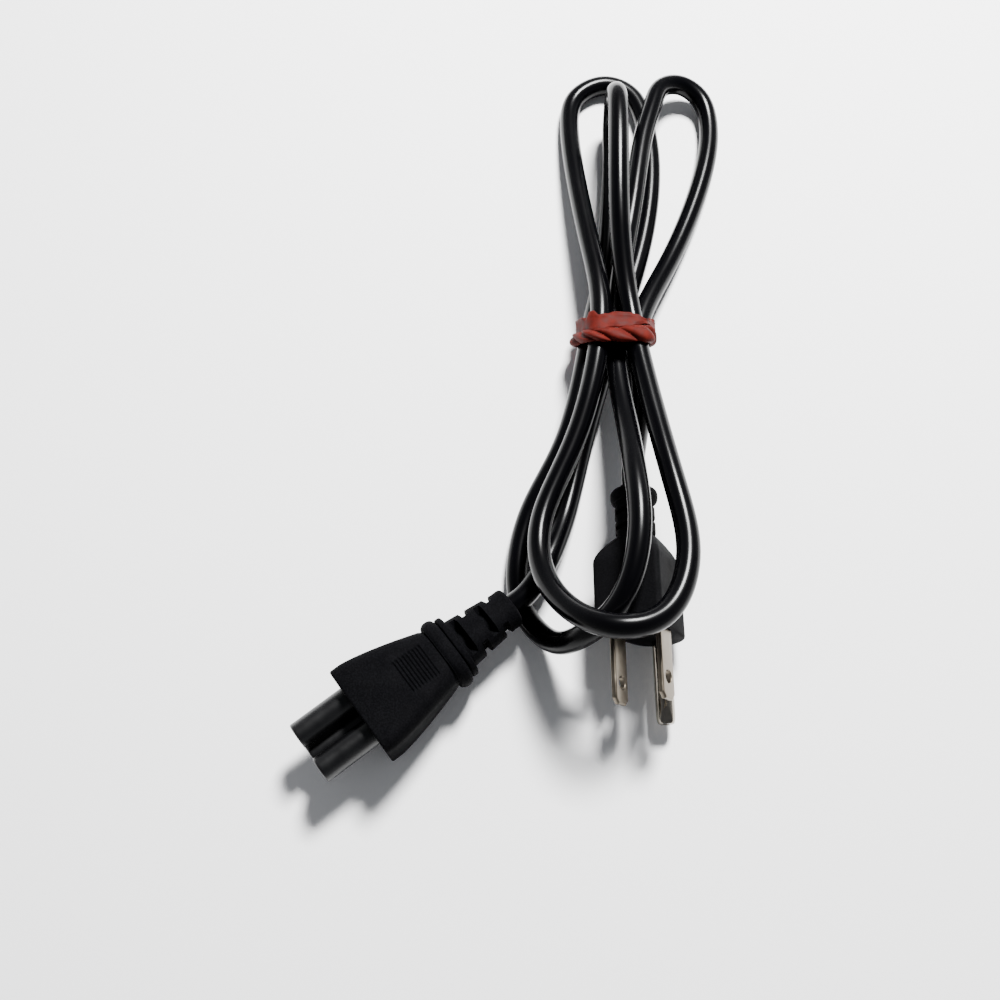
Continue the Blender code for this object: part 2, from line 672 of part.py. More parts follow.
def build_plug(collection, cutters, black, nickel):
    """Make the plug: moulding with its slotted strain relief, two blades and the ground pin."""
    place = Vector((PLUG_EXIT_X, PLUG_EXIT_Y, PLUG_EXIT_Z)) - LAYOUT_CENTRE
    frame = make_frame("plug_frame", collection, place, Matrix.Rotation(-PLUG_ROLL, 4, "Y"))
    body = make_part("plug_body", loft(plug_stations()), collection, black, frame)

    slots = relief_slots(FLANGE_LENGTH, FLANGE_LENGTH + NECK_LENGTH, NECK_SLOT_COUNT,
                         NECK_SLOT_WIDTH, NECK_CORE, NECK_DIAMETER, True)
    combine(body, as_cutter(make_part("neck_slots", boxes(slots), cutters, None, frame)),
            "DIFFERENCE")

    depth = TANG_LENGTH + GAP
    blade_x = BLADE_SPACING / 2
    pocket_size = (BLADE_THICKNESS - 2 * TANG_SHOULDER + 2 * GAP, 2 * depth,
                   BLADE_WIDTH - 2 * TANG_SHOULDER + 2 * GAP)
    pockets = [((side * blade_x, -PLUG_FACE_AT, BLADE_RISE), pocket_size) for side in (-1, 1)]
    combine(body, as_cutter(make_part("blade_pockets", boxes(pockets), cutters, None, frame)),
            "DIFFERENCE")
    pin_z = BLADE_RISE - PIN_DROP
    bore = [((0.0, -PLUG_FACE_AT, pin_z), PIN_DIAMETER / 2 + GAP, 2 * depth)]
    combine(body, as_cutter(make_part("pin_pocket", cylinders(bore), cutters, None, frame)),
            "DIFFERENCE")

    build_blade("blade_live", blade_x, collection, cutters, nickel, frame)
    build_blade("blade_neutral", -blade_x, collection, cutters, nickel, frame)

    radius = PIN_DIAMETER / 2
    tip = PIN_TIP_DIAMETER / 2
    profile = [(0.0, PIN_LENGTH), (PIN_END_DIAMETER / 2, PIN_LENGTH)]
    for step in range(PIN_TIP_STEPS + 1):
        turn = math.radians(90 * step / PIN_TIP_STEPS)
        fall = (PIN_TIP_LENGTH - PIN_END_EDGE) * (1 - math.cos(turn))
        profile.append((tip + (radius - tip) * math.sin(turn), PIN_LENGTH - PIN_END_EDGE - fall))
    profile += [(radius, -TANG_LENGTH + GAP), (0.0, -TANG_LENGTH + GAP)]
    matrix = (Matrix.Translation((0.0, -PLUG_FACE_AT, pin_z))
              @ Matrix.Rotation(math.radians(90), 4, "X"))
    turned("ground_pin", profile, collection, nickel, frame, matrix)


def bundle_outline(samples, y, offset):
    """Give the taut outline, this far outside the strands' centres, where they pass a plane y."""
    strands = []
    for near, far in zip(samples, samples[1:]):
        if (near[1] - y) * (far[1] - y) < 0:
            share = (y - near[1]) / (far[1] - near[1])
            strands.append((near[0] + (far[0] - near[0]) * share,
                            near[2] + (far[2] - near[2]) * share))
    outline = []
    for step in range(BAND_STEPS):
        angle = math.radians(360 * step / BAND_STEPS)
        nx, nz = math.cos(angle), math.sin(angle)
        x, z = max(strands, key=lambda strand: strand[0] * nx + strand[1] * nz)
        outline.append((x + offset * nx, max(0.0, z + offset * nz)))
    return outline


def build_band(samples, collection, cutters, rubber):
    """Make the rubber band: a flat wrap and a thicker one side by side, joined by a thin web."""
    inner = CORD_RADIUS + BAND_CLEARANCE
    web = inner + BAND_WEB_THICKNESS
    wraps = ((-BAND_WRAP_SPACING / 2, BAND_ROPE_THICKNESS), (BAND_WRAP_SPACING / 2, BAND_THICKNESS))
    stations = []
    for middle, thickness in wraps:
        edge = BAND_WRAP_WIDTH / 2
        crown = inner + thickness
        flat = edge * BAND_FLAT_SHARE
        for along, offset in ((-edge, web), (-flat, crown), (flat, crown), (edge, web)):
            y = BAND_Y + middle + along
            stations.append((-y, bundle_outline(samples, y, offset)))
    band = make_part("rubber_band", loft(stations), collection, rubber, None,
                     Matrix.Translation(-LAYOUT_CENTRE))
    reach = BAND_WRAP_SPACING / 2 + BAND_WRAP_WIDTH / 2 + BAND_THICKNESS
    stations = []
    for along in (-reach, -BAND_WAIST, BAND_WAIST, reach):
        stations.append((-BAND_Y - along, bundle_outline(samples, BAND_Y + along, inner)))
    bore = make_part("band_bore", loft(stations), cutters, None, None,
                     Matrix.Translation(-LAYOUT_CENTRE))
    combine(band, as_cutter(bore), "DIFFERENCE")


def main():
    """Build the whole cord."""
    clear_scene()
    parts = make_collection("cloverleaf_power_cord")
    cutters = make_collection("cutters")
    sheath = make_material("cord_pvc", (0.006, 0.006, 0.008), 0.35, 0.0)
    black = make_material("moulded_pvc", (0.008, 0.008, 0.009), 0.6, 0.0)
    nickel = make_material("nickel_plate", (0.55, 0.52, 0.47), 0.3, 1.0)
    brass = make_material("contact_brass", (0.6, 0.42, 0.18), 0.35, 1.0)
    rubber = make_material("red_rubber", (0.4, 0.06, 0.035), 0.55, 0.0)
    samples = cord_samples()
    build_cord(samples, parts, sheath)
    build_connector(parts, cutters, black, brass)
    build_plug(parts, cutters, black, nickel)
    build_band(samples, parts, cutters, rubber)


main()
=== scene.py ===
"""Cloverleaf power cord, folded into a hank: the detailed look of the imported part.

The pieces' sizes are in millimetres and become metres when a mesh is made, and the studio's are in
metres. Distances along the connector and the plug's moulding run from the cord's exit, and along
the blades and the pin from the plug's face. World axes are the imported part's: x to the right, y
away from the plug's blades and z up.
"""
import logging
import math
from dataclasses import dataclass, field
from enum import Enum

import bmesh
import bpy
import numpy as np
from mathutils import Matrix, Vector


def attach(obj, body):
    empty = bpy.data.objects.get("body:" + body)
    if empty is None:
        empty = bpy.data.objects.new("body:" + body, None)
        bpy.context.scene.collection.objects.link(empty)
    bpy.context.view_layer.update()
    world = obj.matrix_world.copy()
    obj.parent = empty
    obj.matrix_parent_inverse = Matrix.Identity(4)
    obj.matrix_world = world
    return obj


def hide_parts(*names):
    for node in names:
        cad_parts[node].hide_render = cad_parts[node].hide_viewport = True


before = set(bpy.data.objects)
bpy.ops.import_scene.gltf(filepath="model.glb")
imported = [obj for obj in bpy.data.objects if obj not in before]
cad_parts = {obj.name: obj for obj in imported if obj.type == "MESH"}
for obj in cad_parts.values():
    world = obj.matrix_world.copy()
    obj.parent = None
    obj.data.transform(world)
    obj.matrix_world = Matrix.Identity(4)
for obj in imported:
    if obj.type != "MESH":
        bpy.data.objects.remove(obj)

Array = np.ndarray
# Listed marks: a place and the value there, or a place on a ramp and its sRGB hex colour
Marks = tuple[tuple[float, float], ...]
Stops = tuple[tuple[float, str], ...]
log = logging.getLogger("power_cord")

MM = 0.001
BODY = "root"

# The middle of the cord's route on the floor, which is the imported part's origin
LAYOUT_CENTRE = np.array([0.9, 1.0, 0.0])

# Directions tried when a loop is laid round circles
DIRECTIONS = 1440
# Steps of a quarter turn on a moulding's rounded edge, and on a finer one
EDGE_STEPS = 7
FINE_EDGE_STEPS = 6

# Below this a cosine counts as none
LEAST_COSINE = 1e-6
# A noise's values lie mostly between these two
NOISE_LOW = 0.3
NOISE_HIGH = 0.7

# The strands where the band holds them, as x and z, and the band's place along y
BAND_Y = 14.4
STRAND_UNDER = (24.7, 4.4)
STRAND_LEFT = (18.1, 9.2)
STRAND_MIDDLE = (24.9, 10.8)
STRAND_RIGHT = (31.5, 9.2)
STRAND_TOP_LEFT = (20.3, 15.8)
STRAND_TOP_RIGHT = (29.1, 15.8)


def at_band(strand: tuple[float, float]) -> tuple[float, float, float]:
    """Give the route point where a strand passes through the band."""
    return (strand[0], BAND_Y, strand[1])


# The cord's route between its two exits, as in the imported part's source
ROUTE = [
    # over the lower fold and along the floor to the band
    (-1.4, -64.1, 9.6),
    (3.0, -57.6, 9.3),
    (6.4, -50.0, 7.4),
    (10.0, -39.0, 4.2),
    (15.2, -18.0, 3.2),
    at_band(STRAND_UNDER),
    # left upper loop, flat on the floor
    (35.5, 50.0, 3.3),
    (39.5, 80.0, 3.2),
    (37.8, 98.0, 3.2),
    (34.0, 107.0, 3.2),
    (26.0, 110.8, 3.2),
    (18.0, 107.0, 3.2),
    (14.4, 98.0, 3.3),
    (18.2, 45.0, 11.4),
    at_band(STRAND_TOP_LEFT),
    # upper fold of the lower end, lying on the plug
    (12.6, -21.0, 14.2),
    (3.5, -43.0, 14.0),
    (2.4, -58.0, 16.8),
    (7.8, -71.0, 24.6),
    (18.2, -78.4, 32.2),
    (30.5, -75.4, 31.2),
    (37.8, -60.0, 28.0),
    (36.0, -38.0, 25.0),
    at_band(STRAND_TOP_RIGHT),
    # middle upper loop, standing on edge
    (26.4, 45.0, 21.0),
    (27.2, 80.0, 24.3),
    (27.4, 91.6, 20.8),
    (27.5, 94.6, 13.0),
    (27.5, 90.6, 5.7),
    (27.2, 80.0, 3.2),
    (23.6, 43.0, 4.4),
    at_band(STRAND_LEFT),
    # lower fold of the lower end, leaning on the plug's left side
    (10.2, -19.0, 8.0),
    (0.6, -38.0, 3.5),
    (-3.4, -56.0, 3.3),
    (-1.6, -67.0, 3.3),
    (5.0, -76.0, 8.6),
    (12.0, -77.3, 18.2),
    (20.8, -71.0, 26.0),
    (26.2, -54.0, 28.4),
    (26.4, -36.0, 25.0),
    (25.8, -18.0, 17.6),
    at_band(STRAND_MIDDLE),
    # right upper loop, over the left one and down to the floor
    (32.0, 58.0, 10.4),
    (36.6, 84.0, 10.0),
    (40.4, 97.4, 9.5),
    (43.4, 104.6, 8.6),
    (49.8, 107.8, 6.6),
    (56.0, 104.8, 4.6),
    (58.6, 97.6, 3.5),
    (57.0, 80.0, 3.2),
    (43.0, 42.0, 4.4),
    at_band(STRAND_RIGHT),
    # straight into the plug
    (31.2, -6.0, 9.8),
    (27.5, -29.0, 13.9),
]


class Coordinates(Enum):
    """Where a pattern reads its place from."""

    OBJECT = "Object"
    SURFACE = "UV"


class Side(Enum):
    """Where a pair of slots in a strain relief lies."""

    BESIDE = 0.0
    ABOVE = 90.0


# Meshes


def quads(rows: int, columns: int, looped: bool = False) -> Array:
    """List the faces of a grid whose columns close round.

    Args:
        rows: stations along the grid.
        columns: points round each station.
        looped: whether the last row meets the first one.

    Returns:
        One row of four point numbers for each face.
    """
    row = np.arange(rows if looped else rows - 1)[:, None]
    column = np.arange(columns)[None, :]
    after = (column + 1) % columns
    following = (row + 1) % rows
    corners = [row * columns + column, row * columns + after,
               following * columns + after, following * columns + column]
    return np.stack(corners, axis=-1).reshape(-1, 4)


def ends(rows: int, columns: int) -> list[list[int]]:
    """Give the two faces that close a grid's first and last rows."""
    last = (rows - 1) * columns
    return [list(range(columns)), list(range(last, last + columns))]


def add_object(name: str, data: bpy.types.ID) -> bpy.types.Object:
    """Add an object with its data to the scene."""
    made = bpy.data.objects.new(name, data)
    bpy.context.scene.collection.objects.link(made)
    return made


def make_object(name: str, grids: list[Array], looped: bool = False,
                marks: Array | None = None) -> bpy.types.Object:
    """Make one closed object from grids of points, with its faces turned outwards.

    Args:
        name: the object's name.
        grids: arrays of rows by columns by three, in millimetres in the part's frame.
        looped: whether each grid's rows close too, as on a ring; otherwise its ends are closed.
        marks: a place on the surface for each point of the first grid, for a pattern along it.

    Returns:
        The object, without a finish.
    """
    points, faces, start = [], [], 0
    for grid in grids:
        rows, columns = grid.shape[:2]
        points.append(grid.reshape(-1, 3) * MM)
        faces += (quads(rows, columns, looped) + start).tolist()
        if not looped:
            faces += [[number + start for number in face] for face in ends(rows, columns)]
        start += rows * columns
    mesh = bpy.data.meshes.new(name)
    mesh.from_pydata(np.concatenate(points).tolist(), [], faces)
    if marks is not None:
        layer = mesh.uv_layers.new(name="surface")
        corner = np.empty(len(mesh.loops), dtype=np.int32)
        mesh.loops.foreach_get("vertex_index", corner)
        layer.data.foreach_set("uv", marks.reshape(-1, 2)[corner].ravel())
    work = bmesh.new()
    work.from_mesh(mesh)
    bmesh.ops.recalc_face_normals(work, faces=work.faces)
    work.to_mesh(mesh)
    work.free()
    return add_object(name, mesh)


def finish_mesh(piece: bpy.types.Object, material: bpy.types.Material, sharp: float) -> None:
    """Shade a piece smooth up to its sharp edges and give it its finish.

    Args:
        piece: the object.
        material: its finish.
        sharp: edges steeper than this many degrees stay sharp.
    """
    piece.data.shade_smooth()
    piece.data.set_sharp_from_angle(angle=math.radians(sharp))
    piece.data.materials.clear()
    piece.data.materials.append(material)


def make_piece(name: str, grids: list[Array], material: bpy.types.Material,
               stands_for: str, sharp: float, looped: bool = False,
               marks: Array | None = None) -> bpy.types.Object:
    """Make one finished piece from grids of points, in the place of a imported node.

    Args:
        name: the piece's name.
        grids: arrays of rows by columns by three, in millimetres in the part's frame.
        material: the finish.
        stands_for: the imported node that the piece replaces.
        sharp: edges steeper than this many degrees stay sharp.
        looped: whether each grid's rows close too, as on a ring.
        marks: a place on the surface for each point, for a pattern along it.

    Returns:
        The piece, riding on the part's body.
    """
    piece = make_object(name, grids, looped, marks)
    finish_mesh(piece, material, sharp)
    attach(piece, BODY)
    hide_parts(stands_for)
    return piece


def cut(piece: bpy.types.Object, tool: bpy.types.Object, material: bpy.types.Material,
        sharp: float) -> None:
    """Cut a tool out of a piece, which a grid alone can't give, and remove the tool.

    Args:
        piece: what is cut.
        tool: a closed object from make_object.
        material: the piece's finish.
        sharp: edges steeper than this many degrees stay sharp.
    """
    modifier = piece.modifiers.new("cut", "BOOLEAN")
    modifier.operation = "DIFFERENCE"
    modifier.solver = "EXACT"
    modifier.object = tool
    seen = piece.evaluated_get(bpy.context.evaluated_depsgraph_get())
    made = bpy.data.meshes.new_from_object(seen)
    piece.modifiers.clear()
    piece.data = made
    made.name = piece.name
    bpy.data.objects.remove(tool, do_unlink=True)
    finish_mesh(piece, material, sharp)


def full_turn(steps: int) -> Array:
    """Give even steps of a whole turn in radians, up to the one before it closes."""
    return np.linspace(0.0, 2 * math.pi, steps, endpoint=False)


def quarter_turn(steps: int) -> Array:
    """Give even steps of a quarter turn in radians, with both its ends."""
    return np.radians(np.linspace(0.0, 90.0, steps))


def edge_rows(end: float, radius: float, steps: int) -> Array:
    """Give the stations of a round edge before an end: the radius times 1 - sine short of it."""
    return end - radius * (1 - np.sin(quarter_turn(steps)))


def run_lengths(line: Array) -> Array:
    """Give the length of a line up to each of its points."""
    return np.append(0.0, np.cumsum(np.linalg.norm(np.diff(line, axis=0), axis=1)))


def taut_outline(circles: Array, count: int) -> tuple[Array, Array]:
    """Lay a taut loop round circles and mark it at even steps, starting at its bottom.

    In each direction the loop touches the circle that reaches furthest, at its centre plus its
    radius along that direction. The touching points are then read at equal lengths of the loop.

    Args:
        circles: rows of x, z and radius.
        count: how many points to mark.

    Returns:
        The points and their outward directions, each count by two.
    """
    angle = np.linspace(-math.pi / 2, math.pi * 3 / 2, DIRECTIONS + 1)
    ray = np.stack([np.cos(angle), np.sin(angle)], axis=1)
    best = (ray @ circles[:, :2].T + circles[:, 2]).argmax(axis=1)
    touch = circles[best, :2] + circles[best, 2:] * ray
    run = run_lengths(touch)
    mark = np.linspace(0.0, run[-1], count, endpoint=False)
    point = np.stack([np.interp(mark, run, touch[:, 0]), np.interp(mark, run, touch[:, 1])], axis=1)
    turn = np.interp(mark, run, angle)
    return point, np.stack([np.cos(turn), np.sin(turn)], axis=1)


def turned(profile: Array, sides: int) -> Array:
    """Turn a profile about the y axis: each point's radius sweeps a circle at its own distance.

    Args:
        profile: rows of radius and distance along the axis.
        sides: points round each circle.

    Returns:
        A grid of profile points by sides by three.
    """
    angle = full_turn(sides)
    radius, along = profile[:, :1], profile[:, 1:]
    return np.stack([radius * np.cos(angle), -along + 0 * angle, radius * np.sin(angle)], axis=-1)


def hump(place: Array, start: float, end: float, power: float) -> Array:
    """Give a rounded swelling: one over its middle, falling to zero at both ends.

    The height is (1 - |t| ** power) ** (1 / power), where t runs from -1 at the start to 1 at the
    end, so a higher power gives a flatter top and rounder corners.

    Args:
        place: distances along the piece.
        start: where the swelling starts.
        end: where it ends.
        power: how square it is.

    Returns:
        One height for each place, from 0 to 1.
    """
    t = np.clip((2 * place - start - end) / (end - start), -1.0, 1.0)
    return (1 - np.abs(t) ** power) ** (1 / power)


def edge_inset(place: Array, start: float, end: float, radius: float) -> Array:
    """Give how far round edges of a radius draw a surface in near its start and its end.

    At a distance d inside an end, the edge draws in by r - sqrt(r ** 2 - (r - d) ** 2).

    Args:
        place: distances along the piece.
        start: where the piece starts, or minus infinity for no edge there.
        end: where it ends, or infinity.
        radius: the edges' radius r.

    Returns:
        One distance inwards for each place.
    """
    near = np.clip(radius - (place - start), 0.0, radius)
    far = np.clip(radius - (end - place), 0.0, radius)
    return 2 * radius - np.sqrt(radius ** 2 - near ** 2) - np.sqrt(radius ** 2 - far ** 2)


def smooth_read(place: Array, marks: Marks) -> Array:
    """Read listed marks, with each stretch between two eased at both ends.

    Between two marks the value runs from one to the other as t ** 2 * (3 - 2 t).

    Args:
        place: where to read.
        marks: places and the values there.

    Returns:
        One value for each place.
    """
    places, values = (np.array(part) for part in zip(*marks))
    at = np.clip(np.searchsorted(places, place, side="right") - 1, 0, len(places) - 2)
    t = (place - places[at]) / (places[at + 1] - places[at])
    return values[at] + (values[at + 1] - values[at]) * t * t * (3 - 2 * t)


def superellipse(count: int, powers: tuple[float, float]) -> tuple[Array, Array]:
    """Give a squared-off circle: the cosine and sine of its angle, each to a power, signs kept.

    Args:
        count: points round it.
        powers: for the cosine and for the sine; the lower, the squarer.

    Returns:
        Places across and up, from -1 to 1.
    """
    angle = full_turn(count)
    across, up = np.cos(angle), np.sin(angle)
    return (np.sign(across) * np.abs(across) ** powers[0], np.sign(up) * np.abs(up) ** powers[1])


@dataclass(frozen=True)
class Slots:
    """Pairs of slots that cut a strain relief down to its core, by turns beside and above."""

    # The stretch that the slots share, their number and width, the core's radius, each slot's
    # spread round the piece in degrees, and how steep its walls are
    start: float
    end: float
    count: int
    width: float
    core: float
    spread: float
    steepness: float = 3.0

    def carve(self, along: Array, x: Array, z: Array) -> tuple[Array, Array]:
        """Draw the points inside a slot in to the core's radius.

        Inside a slot 1 - t ** 4 - a ** 4 is above zero, where t is the place across the slot's
        width and a the place round its spread, each 1 at the slot's edge. The point moves in by
        that value times the steepness, held between none and all of the way.

        Args:
            along: distances from the exit, as a column.
            x: grid of places across.
            z: grid of heights.

        Returns:
            The carved x and z.
        """
        pitch = (self.end - self.start) / self.count
        share = np.zeros_like(x)
        for index in range(self.count):
            side = Side.BESIDE if index % 2 == 0 else Side.ABOVE
            t = (along - self.start - (index + 0.5) * pitch) / (self.width / 2)
            turn = np.degrees(np.arctan2(z, x)) - side.value
            around = np.abs((turn + 90.0) % 180.0 - 90.0) / (self.spread / 2)
            share = np.maximum(share, np.clip((1 - t ** 4 - around ** 4) * self.steepness, 0, 1))
        radius = np.hypot(x, z)
        scale = 1 - share * np.clip(1 - self.core / radius, 0.0, 1.0)
        return x * scale, z * scale


@dataclass(frozen=True)
class Placement:
    """Where an end piece stands: its cord's exit, its turn about z and its roll about its axis."""

    exit: tuple[float, float, float]
    yaw: float = 0.0
    roll: float = 0.0

    def matrix(self) -> Array:
        """Give the turn from the piece's own axes to the part's.

        Returns:
            The turn about z times the roll about y, three by three.
        """
        yaw, roll = math.radians(self.yaw), math.radians(-self.roll)
        about_z = np.array([[math.cos(yaw), -math.sin(yaw), 0.0],
                            [math.sin(yaw), math.cos(yaw), 0.0], [0.0, 0.0, 1.0]])
        about_y = np.array([[math.cos(roll), 0.0, math.sin(roll)], [0.0, 1.0, 0.0],
                            [-math.sin(roll), 0.0, math.cos(roll)]])
        return about_z @ about_y

    def put(self, points: Array) -> Array:
        """Take points from the piece's own axes into the part's frame."""
        return points @ self.matrix().T + np.array(self.exit) - LAYOUT_CENTRE

    def inward(self) -> Array:
        """Give the direction in which the cord runs into the piece."""
        return -self.matrix()[:, 1]


# Finishes


def linear(colour: str) -> tuple[float, float, float, float]:
    """Turn an sRGB hex colour into the linear values that a shader takes.

    A channel p is p / 12.92 up to 0.04045, and ((p + 0.055) / 1.055) ** 2.4 above.

    Args:
        colour: a hash sign and six hex digits.

    Returns:
        Red, green and blue, and 1 for opaque.
    """
    parts = [int(colour[i:i + 2], 16) / 255 for i in (1, 3, 5)]
    values = [p / 12.92 if p <= 0.04045 else ((p + 0.055) / 1.055) ** 2.4 for p in parts]
    return (*values, 1.0)


def add_node(tree: bpy.types.NodeTree, kind: str, settings: dict[str, object] | None = None,
             links: dict[str, bpy.types.NodeSocket] | None = None) -> bpy.types.Node:
    """Add a node with its settings and links.

    Args:
        tree: the material's or world's node tree.
        kind: the node's type.
        settings: values by name, for an input where it has that name and else for the node.
        links: output sockets by the name of the input that each feeds.

    Returns:
        The new node.
    """
    node = tree.nodes.new(kind)
    for name, value in (settings or {}).items():
        if name in node.inputs:
            node.inputs[name].default_value = value
        else:
            setattr(node, name, value)
    for name, socket in (links or {}).items():
        tree.links.new(socket, node.inputs[name])
    return node


def set_ramp(node: bpy.types.Node, stops: Stops) -> None:
    """Give a colour ramp its stops.

    Args:
        node: the colour ramp's node.
        stops: two or more, each a place and an sRGB hex colour.
    """
    ramp = node.color_ramp
    while len(ramp.elements) < len(stops):
        ramp.elements.new(1.0)
    for element, (place, colour) in zip(ramp.elements, stops):
        element.position = place
        element.color = linear(colour)


@dataclass
class Skin:
    """One material in the making: its nodes, its shader and where its patterns read their place."""

    tree: bpy.types.NodeTree
    shader: bpy.types.Node
    place: bpy.types.NodeSocket

    def noise(self, size: float, detail: float = 2.0,
              stretch: tuple[float, float, float] = (1.0, 1.0, 1.0)) -> bpy.types.NodeSocket:
        """Add a noise whose grains are about this many millimetres across.

        Args:
            size: grain size in millimetres.
            detail: how much finer grain is laid over it.
            stretch: how many times longer the grains are along each axis.

        Returns:
            The noise's value.
        """
        scale = tuple(1.0 / s for s in stretch)
        mapped = add_node(self.tree, "ShaderNodeMapping", {"Scale": scale}, {"Vector": self.place})
        grain = add_node(self.tree, "ShaderNodeTexNoise",
                         {"Scale": 1.0 / (size * MM), "Detail": detail},
                         {"Vector": mapped.outputs["Vector"]})
        return grain.outputs["Fac"]

    def vary(self, value: bpy.types.NodeSocket, low: float, high: float) -> None:
        """Let the roughness follow a pattern.

        Args:
            value: the pattern.
            low: the roughness at the pattern's low places.
            high: the roughness at its high places.
        """
        limits = {"From Min": NOISE_LOW, "From Max": NOISE_HIGH, "To Min": low, "To Max": high}
        span = add_node(self.tree, "ShaderNodeMapRange", limits, {"Value": value})
        self.tree.links.new(span.outputs["Result"], self.shader.inputs["Roughness"])

    def emboss(self, value: bpy.types.NodeSocket, depth: float, strength: float) -> None:
        """Raise the surface by a pattern.

        Args:
            value: the pattern.
            depth: how many millimetres deep it is.
            strength: how strongly the light shows it.
        """
        bump = add_node(self.tree, "ShaderNodeBump",
                        {"Strength": strength, "Distance": depth * MM}, {"Height": value})
        self.tree.links.new(bump.outputs["Normal"], self.shader.inputs["Normal"])

    def tint(self, value: bpy.types.NodeSocket, stops: Stops) -> None:
        """Let the colour follow a pattern through a ramp.

        Args:
            value: the pattern.
            stops: the ramp's places and sRGB hex colours.
        """
        ramp = add_node(self.tree, "ShaderNodeValToRGB", links={"Fac": value})
        set_ramp(ramp, stops)
        self.tree.links.new(ramp.outputs["Color"], self.shader.inputs["Base Color"])


@dataclass(frozen=True)
class Finish:
    """What every finish has: a name for its material and process, and its base values."""

    name: str
    colour: str
    roughness: float
    metallic: float = 0.0
    ior: float | None = None
    specular: float = 0.5
    coordinates: Coordinates = Coordinates.OBJECT

    def make(self) -> bpy.types.Material:
        """Make the material with its base values, then add the pattern of the finish.

        Returns:
            The material.
        """
        made = bpy.data.materials.new(self.name)
        made.use_nodes = True
        tree = made.node_tree
        shader = tree.nodes["Principled BSDF"]
        values = {"Base Color": linear(self.colour), "Roughness": self.roughness,
                  "Metallic": self.metallic, "Specular IOR Level": self.specular}
        if self.ior is not None:
            values["IOR"] = self.ior
        for name, value in values.items():
            shader.inputs[name].default_value = value
        place = add_node(tree, "ShaderNodeTexCoord").outputs[self.coordinates.value]
        self.dress(Skin(tree, shader, place))
        return made

    def dress(self, skin: Skin) -> None:
        """Add the finish's pattern to the material in the making: a plain finish has none."""


class ExtrudedSheath(Finish):
    """Soft PVC drawn through a die: a glossy near-black skin with faint lines along the cord.

    The eye sees one narrow highlight along each strand, slightly broken by handling.
    """

    def dress(self, skin: Skin) -> None:
        """Add smears of handling in the gloss and fine lines drawn along the cord.

        Args:
            skin: the material in the making.
        """
        smears = skin.noise(size=9.0, detail=4.0, stretch=(4.0, 1.0, 1.0))
        skin.vary(smears, low=self.roughness - 0.03, high=self.roughness + 0.06)
        skin.tint(smears, ((0.3, "#010102"), (0.7, "#030304")))
        # Die lines are some 0.1 mm apart in life, and are drawn at 0.7 mm to show at all
        lines = skin.noise(size=0.7, detail=2.0, stretch=(60.0, 1.0, 1.0))
        skin.emboss(lines, depth=0.02, strength=0.25)


class SparkedMoulding(Finish):
    """Black PVC from a spark-eroded mould: a matt fine grain that takes the shine off the light."""

    def dress(self, skin: Skin) -> None:
        """Add the grain of the mould, which is 0.1 mm wide and drawn at 0.36 mm, and wear.

        Args:
            skin: the material in the making.
        """
        grain = skin.noise(size=0.36, detail=3.0)
        skin.emboss(grain, depth=0.06, strength=0.9)
        wear = skin.noise(size=6.0, detail=5.0)
        skin.vary(wear, low=self.roughness - 0.07, high=self.roughness + 0.08)
        skin.tint(grain, ((0.4, "#020203"), (0.66, "#08080a")))


class SatinMoulding(Finish):
    """Black PVC from a polished mould: a satin skin with broad soft highlights on the lobes."""

    def dress(self, skin: Skin) -> None:
        """Add the faint ripple of a moulded skin and rubbed patches in its gloss.

        Args:
            skin: the material in the making.
        """
        ripple = skin.noise(size=1.6, detail=2.0)
        skin.emboss(ripple, depth=0.03, strength=0.3)
        rubbed = skin.noise(size=4.0, detail=4.0)
        skin.vary(rubbed, low=self.roughness - 0.03, high=self.roughness + 0.04)
        skin.tint(rubbed, ((0.3, "#020203"), (0.7, "#050506")))


@dataclass(frozen=True)
class NickelPlating(Finish):
    """Nickel over stamped or rolled brass: a warm grey metal with fine lines along its length."""

    dull: str = "#6e665a"
    bright: str = "#7a7266"

    def dress(self, skin: Skin) -> None:
        """Add scuffs from being plugged in, which run along the blade, and dull patches.

        Args:
            skin: the material in the making.
        """
        scuffs = skin.noise(size=0.35, detail=3.0, stretch=(1.0, 30.0, 1.0))
        skin.emboss(scuffs, depth=0.004, strength=0.1)
        patches = skin.noise(size=2.5, detail=4.0)
        skin.vary(patches, low=self.roughness - 0.03, high=self.roughness + 0.05)
        skin.tint(patches, ((0.3, self.dull), (0.7, self.bright)))


class DrawnBrass(Finish):
    """Drawn brass sleeve, dulled inside its socket: brown-gold with darker stains."""

    def dress(self, skin: Skin) -> None:
        """Add tarnish in patches of about a millimetre.

        Args:
            skin: the material in the making.
        """
        tarnish = skin.noise(size=1.2, detail=4.0)
        skin.vary(tarnish, low=self.roughness - 0.05, high=self.roughness + 0.15)
        skin.tint(tarnish, ((0.3, "#8a5f2c"), (0.7, "#c79a52")))


class CutRubber(Finish):
    """Brick-red rubber cut from a tube: a dull skin, dusty where it is stretched."""

    def dress(self, skin: Skin) -> None:
        """Add fine pits and a cloudy change of colour along the band.

        Args:
            skin: the material in the making.
        """
        cloud = skin.noise(size=2.2, detail=5.0)
        skin.tint(cloud, ((0.3, "#360803"), (0.5, "#430c06"), (0.72, "#52130b")))
        skin.vary(cloud, low=self.roughness - 0.08, high=self.roughness + 0.1)
        pits = skin.noise(size=0.35, detail=3.0)
        skin.emboss(pits, depth=0.05, strength=0.6)


class PaperFloor(Finish):
    """Matt white card: even and pale, so that the black cord and its soft shadows stand out."""

    def dress(self, skin: Skin) -> None:
        """Add the faint tooth of card to the material in the making."""
        tooth = skin.noise(size=1.0, detail=3.0)
        skin.emboss(tooth, depth=0.03, strength=0.15)


# Pieces


